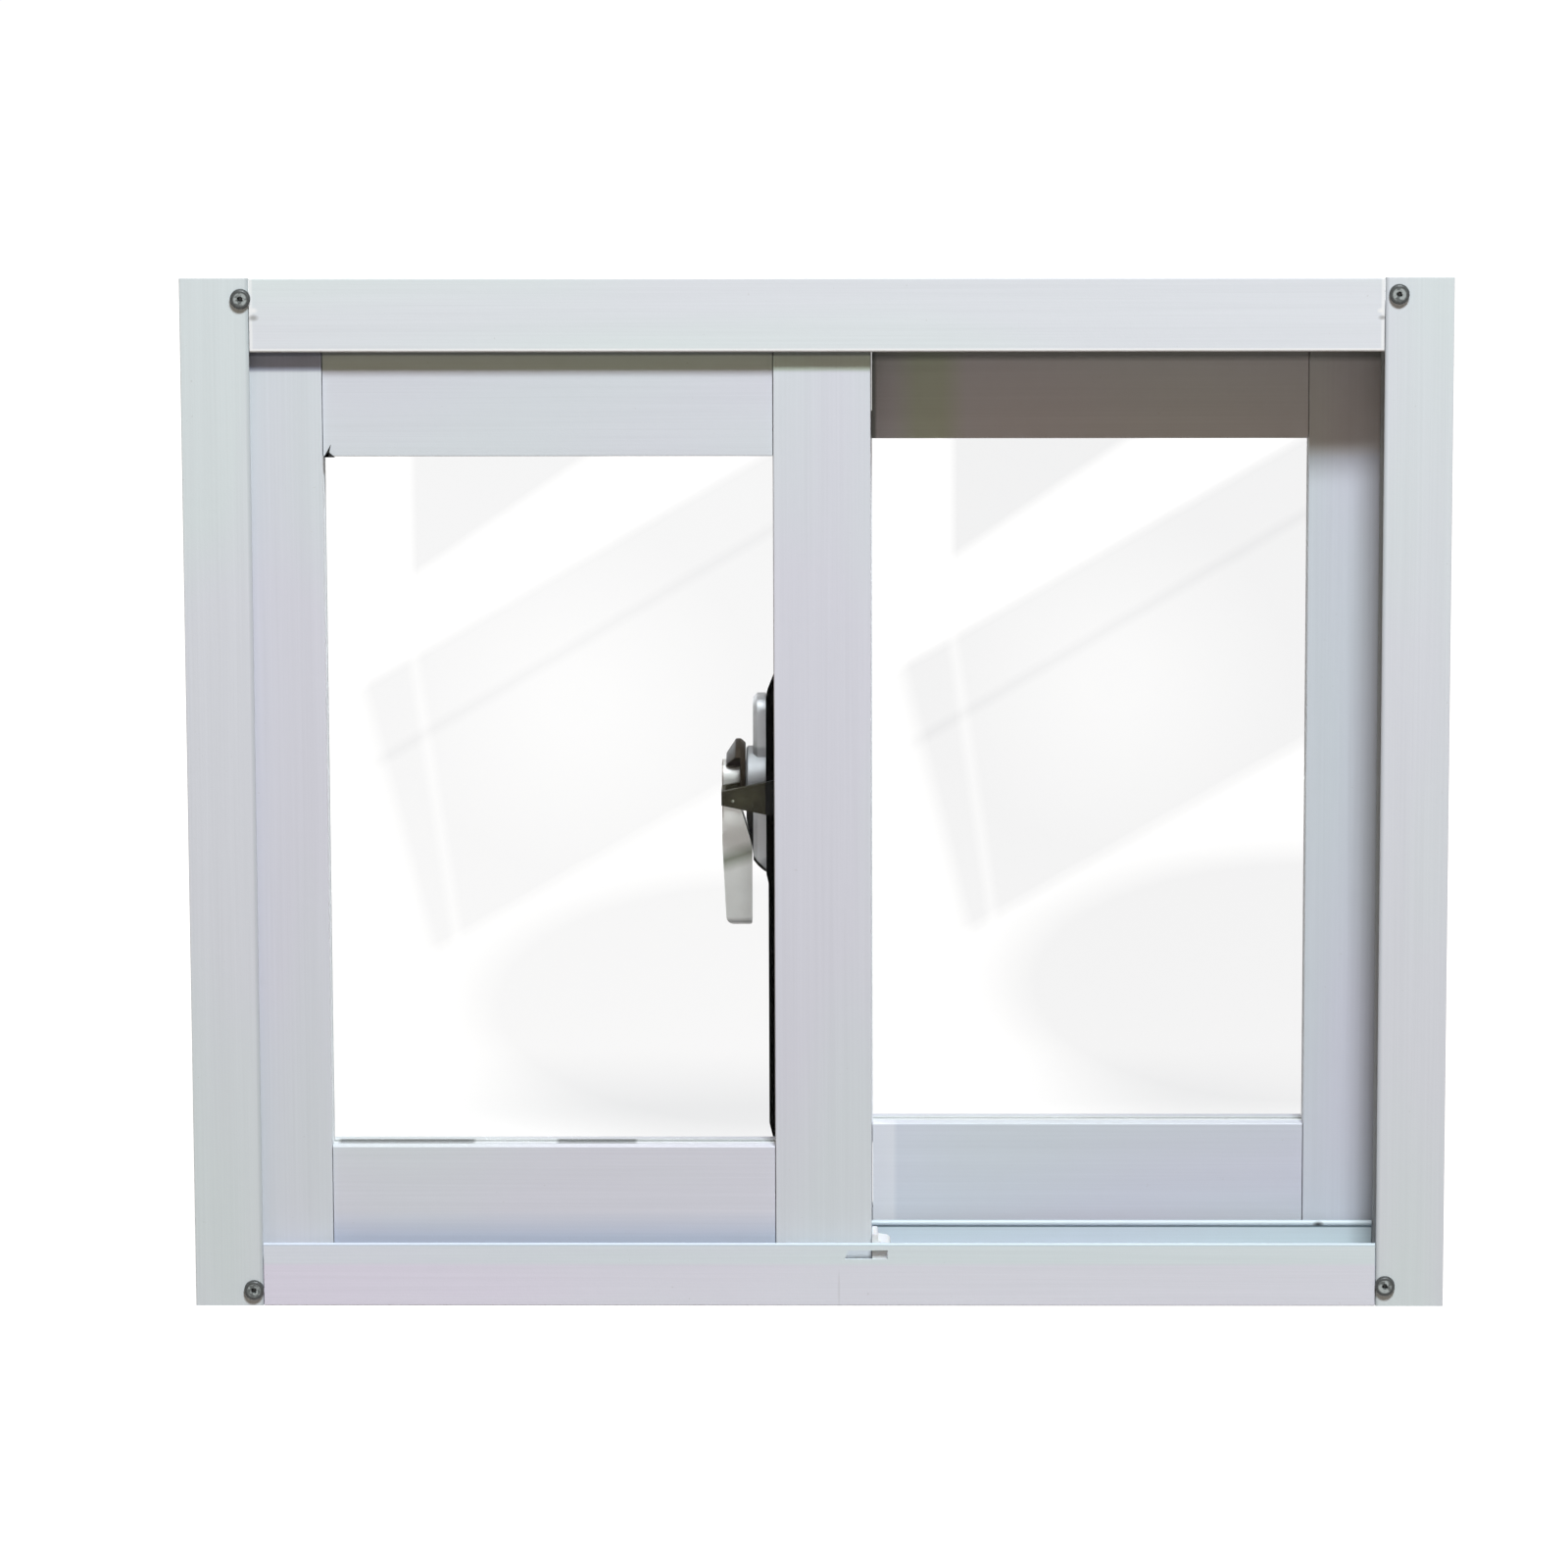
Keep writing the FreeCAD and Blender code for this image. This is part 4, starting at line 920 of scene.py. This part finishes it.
class WINDOW_OT_corner_screws(bpy.types.Operator):
    """Adds the pan-head screws at the frame's four corners"""

    bl_idname = "window.corner_screws"
    bl_label = "Add corner screws"

    # X, Z and the recess's turn in degrees
    PLACES = {
        "upper_left": (-0.2712, 0.4904, 38.0),
        "upper_right": (0.2740, 0.4923, 20.0),
        "lower_left": (-0.2720, 0.0079, 52.0),
        "lower_right": (0.2720, 0.0101, 8.0),
    }
    ARMS = ((1, 0, 0), (-1, 0, 0), (0, 0, 1), (0, 0, -1))
    # Middles of the rim and of the hole, where shade is painted, as mark_places stores places
    RIM_MIDDLE = (0.5, 0.5, 0.0)
    HOLE_MIDDLE = (0.49, 0.53, 0.0)

    def execute(self, context):
        settings = context.scene.window_screws
        zinc = self.zinc(settings)
        head = self.head(settings)
        for corner, (x, z, turn) in self.PLACES.items():
            screw = own_copy(head, "corner_screw_" + corner)
            screw.data.transform(Matrix.Rotation(math.radians(turn), 4, "Y"))
            self.mark_places(screw, settings)
            screw.data.transform(Matrix.Translation((x, OUTSIDE, z)))
            hand_over(screw, zinc)
        bpy.data.objects.remove(head)
        return {"FINISHED"}

    def head(self, settings):
        """One head about the Y axis: a domed cap with a cross recess, its back on Y = 0."""
        rise = settings.rise
        deselect()
        bpy.ops.mesh.primitive_cylinder_add(vertices=64, radius=settings.radius, depth=rise,
                                            location=(0, -rise / 2, 0),
                                            rotation=(math.pi / 2, 0, 0))
        head = bpy.context.object
        head.name = "screw_head"
        settle(head)

        def front_rim(edge):
            return all(vert.co.y < -rise + TOUCHING for vert in edge.verts)

        shape("EDGE", front_rim,
              lambda: bpy.ops.mesh.bevel(offset=rise * 0.62, segments=7, profile=0.55))
        carve(head, self.recess(settings))
        activate(head)
        bpy.ops.object.shade_smooth_by_angle(angle=math.radians(32))
        return head

    def recess(self, settings):
        """A cross that tapers inwards, as a cutter."""
        depth = settings.rise * 0.75
        front = -settings.rise - 0.0002
        back = front + depth
        middle = (0, front + depth / 2, 0)
        half = settings.arm / 2
        deselect()
        bpy.ops.mesh.primitive_cube_add(size=1.0, location=middle)
        cross = bpy.context.object
        settle(cross)
        shape("VERT", anything, resize((2 * half, depth, 2 * half), middle))
        for side in self.ARMS:
            way = Vector(side)

            def arm_end(face):
                centre = face.calc_center_median()
                aside = centre - way * centre.dot(way)
                return face.normal.dot(way) > 0.9 and math.hypot(aside.x, aside.z) < half / 2

            shape("FACE", arm_end, lambda: bpy.ops.mesh.extrude_region_move(
                TRANSFORM_OT_translate={"value": way * (settings.cross / 2 - half)}))
        shape("VERT", lambda vert: vert.co.y > back - TOUCHING,
              resize((0.45, 1.0, 0.45), (0, back, 0)))
        return cross

    def mark_places(self, head, settings):
        """Stores where each point lies across the head, from 0 to 1 each way."""
        attribute = head.data.color_attributes.new("across", "FLOAT_COLOR", "POINT")
        for vert, item in zip(head.data.vertices, attribute.data):
            across = [0.5 + 0.5 * part / settings.radius for part in (vert.co.x, vert.co.z)]
            item.color = (*across, 0.0, 1.0)

    def zinc(self, settings):
        """Dull zinc with blots of dirt, and painted shade round the rim and in the recess."""
        recipe = Recipe("screw_zinc")
        across = recipe.add("ShaderNodeVertexColor")
        across.layer_name = "across"
        from_rim = recipe.vector("DISTANCE", across.outputs[0], self.RIM_MIDDLE)
        from_hole = recipe.vector("DISTANCE", across.outputs[0], self.HOLE_MIDDLE)
        grain = recipe.noise(1800.0, detail=3.0)
        # Painted shade round the rim and in the recess.
        rim = recipe.above(from_rim, 0.325, 0.035, 0.92)
        recess_shade = recipe.below(from_hole, 0.135, 0.015)
        blot = recipe.spread(recipe.noise(520.0, detail=1.0), 0.45, 0.60, 0.0, 0.75)
        dirt_and_shade = recipe.either(recipe.either(rim, recess_shade), blot)
        dirt_and_shade = recipe.both(dirt_and_shade, recipe.spread(grain, 0.3, 0.6, 0.85, 1.0))
        recipe.wear(recipe.blend(dirt_and_shade, settings.zinc, settings.grime_and_shade))
        recipe.set(Metallic=recipe.spread(dirt_and_shade, 0.0, 1.0, 0.75, 0.0),
                   Roughness=recipe.spread(grain, 0.3, 0.7, 0.3, 0.45))
        recipe.bump(grain, 0.15, 0.0002)
        return recipe.material


class WINDOW_OT_stage(bpy.types.Operator):
    """Sets the camera, the light, the floor and the white surroundings"""

    bl_idname = "window.stage"
    bl_label = "Set stage"

    SENSOR = 36.0
    SHIFT = (-0.0215, 0.0090)
    AIM_HEIGHT = 0.25
    # From the window towards each lamp, and the fill lamps' width and height
    TO_KEY = (0.215, -1.0, 1.43)
    TO_FILL = {"fill_left": (-0.9, 1.0, 0.22), "fill_right": (0.9, 1.0, 0.22)}
    FILL_SIZE = (2.0, 1.4)
    FLOOR_SIZE = 16.0
    FLOOR_GAP = 0.0002
    FLOOR_SEEN = (0.972, 0.99, 1.0, 1.0)
    # The floor is seen fully white from the second distance on
    WHITENING = (0.6, 2.2)

    def execute(self, context):
        settings = context.scene.window_stage
        context.scene.view_settings.view_transform = "Standard"
        self.camera(context, settings)
        self.lamp(context, settings, "key", self.TO_KEY, settings.key,
                  (settings.key_width, settings.key_height))
        for name, way in self.TO_FILL.items():
            self.lamp(context, settings, name, way, settings.fill, self.FILL_SIZE)
        self.world(context, settings)
        self.floor(settings)
        return {"FINISHED"}

    def stand(self, context, name, data, target, back, distance, roll=0.0):
        """Places a camera or lamp at a distance from its target, looking at it."""
        item = bpy.data.objects.new(name, data)
        item.matrix_world = (
            Matrix.Translation(target + back * distance)
            @ (-back).to_track_quat("-Z", "Y").to_matrix().to_4x4()
            @ Matrix.Rotation(roll, 4, "Z")
        )
        context.scene.collection.objects.link(item)
        return item

    def camera(self, context, settings):
        target = Vector((0, OUTSIDE, (CAD_BOX[0].z + CAD_BOX[1].z) / 2))
        flat = math.cos(settings.pitch)
        back = Vector((math.sin(settings.yaw) * flat, -math.cos(settings.yaw) * flat,
                       math.sin(settings.pitch)))
        data = bpy.data.cameras.new("camera")
        data.lens = settings.lens
        data.sensor_width = self.SENSOR
        data.shift_x, data.shift_y = self.SHIFT
        data.clip_end = 50.0
        context.scene.camera = self.stand(context, "camera", data, target, back,
                                          settings.distance, settings.roll)

    def lamp(self, context, settings, name, way, power, size):
        data = bpy.data.lights.new(name, "AREA")
        data.shape = "RECTANGLE"
        data.size, data.size_y = size
        data.energy = power
        data.color = settings.key_tone
        target = Vector((0, OUTSIDE, self.AIM_HEIGHT))
        self.stand(context, name, data, target, Vector(way).normalized(), settings.key_distance)

    def seen_directly(self, tree):
        """1 for what the camera sees straight, in a mirror or through glass."""
        rays = tree.nodes.new("ShaderNodeLightPath").outputs
        value = rays["Is Camera Ray"]
        for name in ("Is Glossy Ray", "Is Transmission Ray"):
            larger = tree.nodes.new("ShaderNodeMath")
            larger.operation = "MAXIMUM"
            tree.links.new(value, larger.inputs[0])
            tree.links.new(rays[name], larger.inputs[1])
            value = larger.outputs[0]
        return value

    def world(self, context, settings):
        """Seen white, but lights the window only softly."""
        world = bpy.data.worlds.new("studio")
        world.use_nodes = True
        tree = world.node_tree
        soft = tree.nodes["Background"]
        soft.inputs["Color"].default_value = (*settings.room, 1.0)
        white = tree.nodes.new("ShaderNodeBackground")
        white.inputs["Color"].default_value = (*WHITE, 1.0)
        mix = tree.nodes.new("ShaderNodeMixShader")
        tree.links.new(self.seen_directly(tree), mix.inputs[0])
        tree.links.new(soft.outputs[0], mix.inputs[1])
        tree.links.new(white.outputs[0], mix.inputs[2])
        tree.links.new(mix.outputs[0], tree.nodes["World Output"].inputs["Surface"])
        context.scene.world = world

    def floor(self, settings):
        """A dull floor that is seen nearly white and still takes the window's shadow."""
        deselect()
        bpy.ops.mesh.primitive_plane_add(size=self.FLOOR_SIZE,
                                         location=(0, 0, CAD_BOX[0].z - self.FLOOR_GAP))
        floor = bpy.context.object
        floor.name = "studio_floor"
        recipe = Recipe("studio_floor")
        start, end = self.WHITENING
        paler = recipe.spread(recipe.vector("LENGTH", recipe.place), start, end, settings.glow)
        recipe.set(Base_Color=settings.floor, Roughness=1.0, Specular_IOR_Level=0.0,
                   Emission_Color=self.FLOOR_SEEN,
                   Emission_Strength=recipe.both(self.seen_directly(recipe.tree), paler))
        floor.data.materials.append(recipe.material)


class WINDOW_PT_panel(bpy.types.Panel):
    """Lists the window's settings and steps"""

    bl_idname = "WINDOW_PT_panel"
    bl_label = "Sliding window"
    bl_space_type = "VIEW_3D"
    bl_region_type = "UI"
    bl_category = "Window"

    def draw(self, context):
        for group in SETTINGS:
            settings = getattr(context.scene, group)
            box = self.layout.box()
            box.label(text=settings.bl_rna.description)
            for prop in settings.bl_rna.properties:
                if prop.identifier not in ("name", "rna_type"):
                    box.prop(settings, prop.identifier)
        for step in STEPS:
            self.layout.operator(step.bl_idname)


SETTINGS = {
    "window_coat": CoatSettings,
    "window_glazing": GlazingSettings,
    "window_lock": LockSettings,
    "window_screws": ScrewSettings,
    "window_stage": StageSettings,
}
STEPS = (
    WINDOW_OT_coat_frame,
    WINDOW_OT_coat_sashes,
    WINDOW_OT_glaze,
    WINDOW_OT_finish_rollers,
    WINDOW_OT_finish_lock,
    WINDOW_OT_corner_screws,
    WINDOW_OT_stage,
)
CLASSES = (*SETTINGS.values(), *STEPS, WINDOW_PT_panel)


def register():
    for item in CLASSES:
        bpy.utils.register_class(item)
    for name, group in SETTINGS.items():
        setattr(bpy.types.Scene, name, PointerProperty(type=group))


def unregister():
    for name in SETTINGS:
        delattr(bpy.types.Scene, name)
    for item in reversed(CLASSES):
        bpy.utils.unregister_class(item)


def main():
    register()
    bpy.ops.window.coat_frame()
    bpy.ops.window.coat_sashes()
    bpy.ops.window.glaze()
    bpy.ops.window.finish_rollers()
    bpy.ops.window.finish_lock()
    bpy.ops.window.corner_screws()
    bpy.ops.window.stage()


if __name__ == "__main__":
    main()
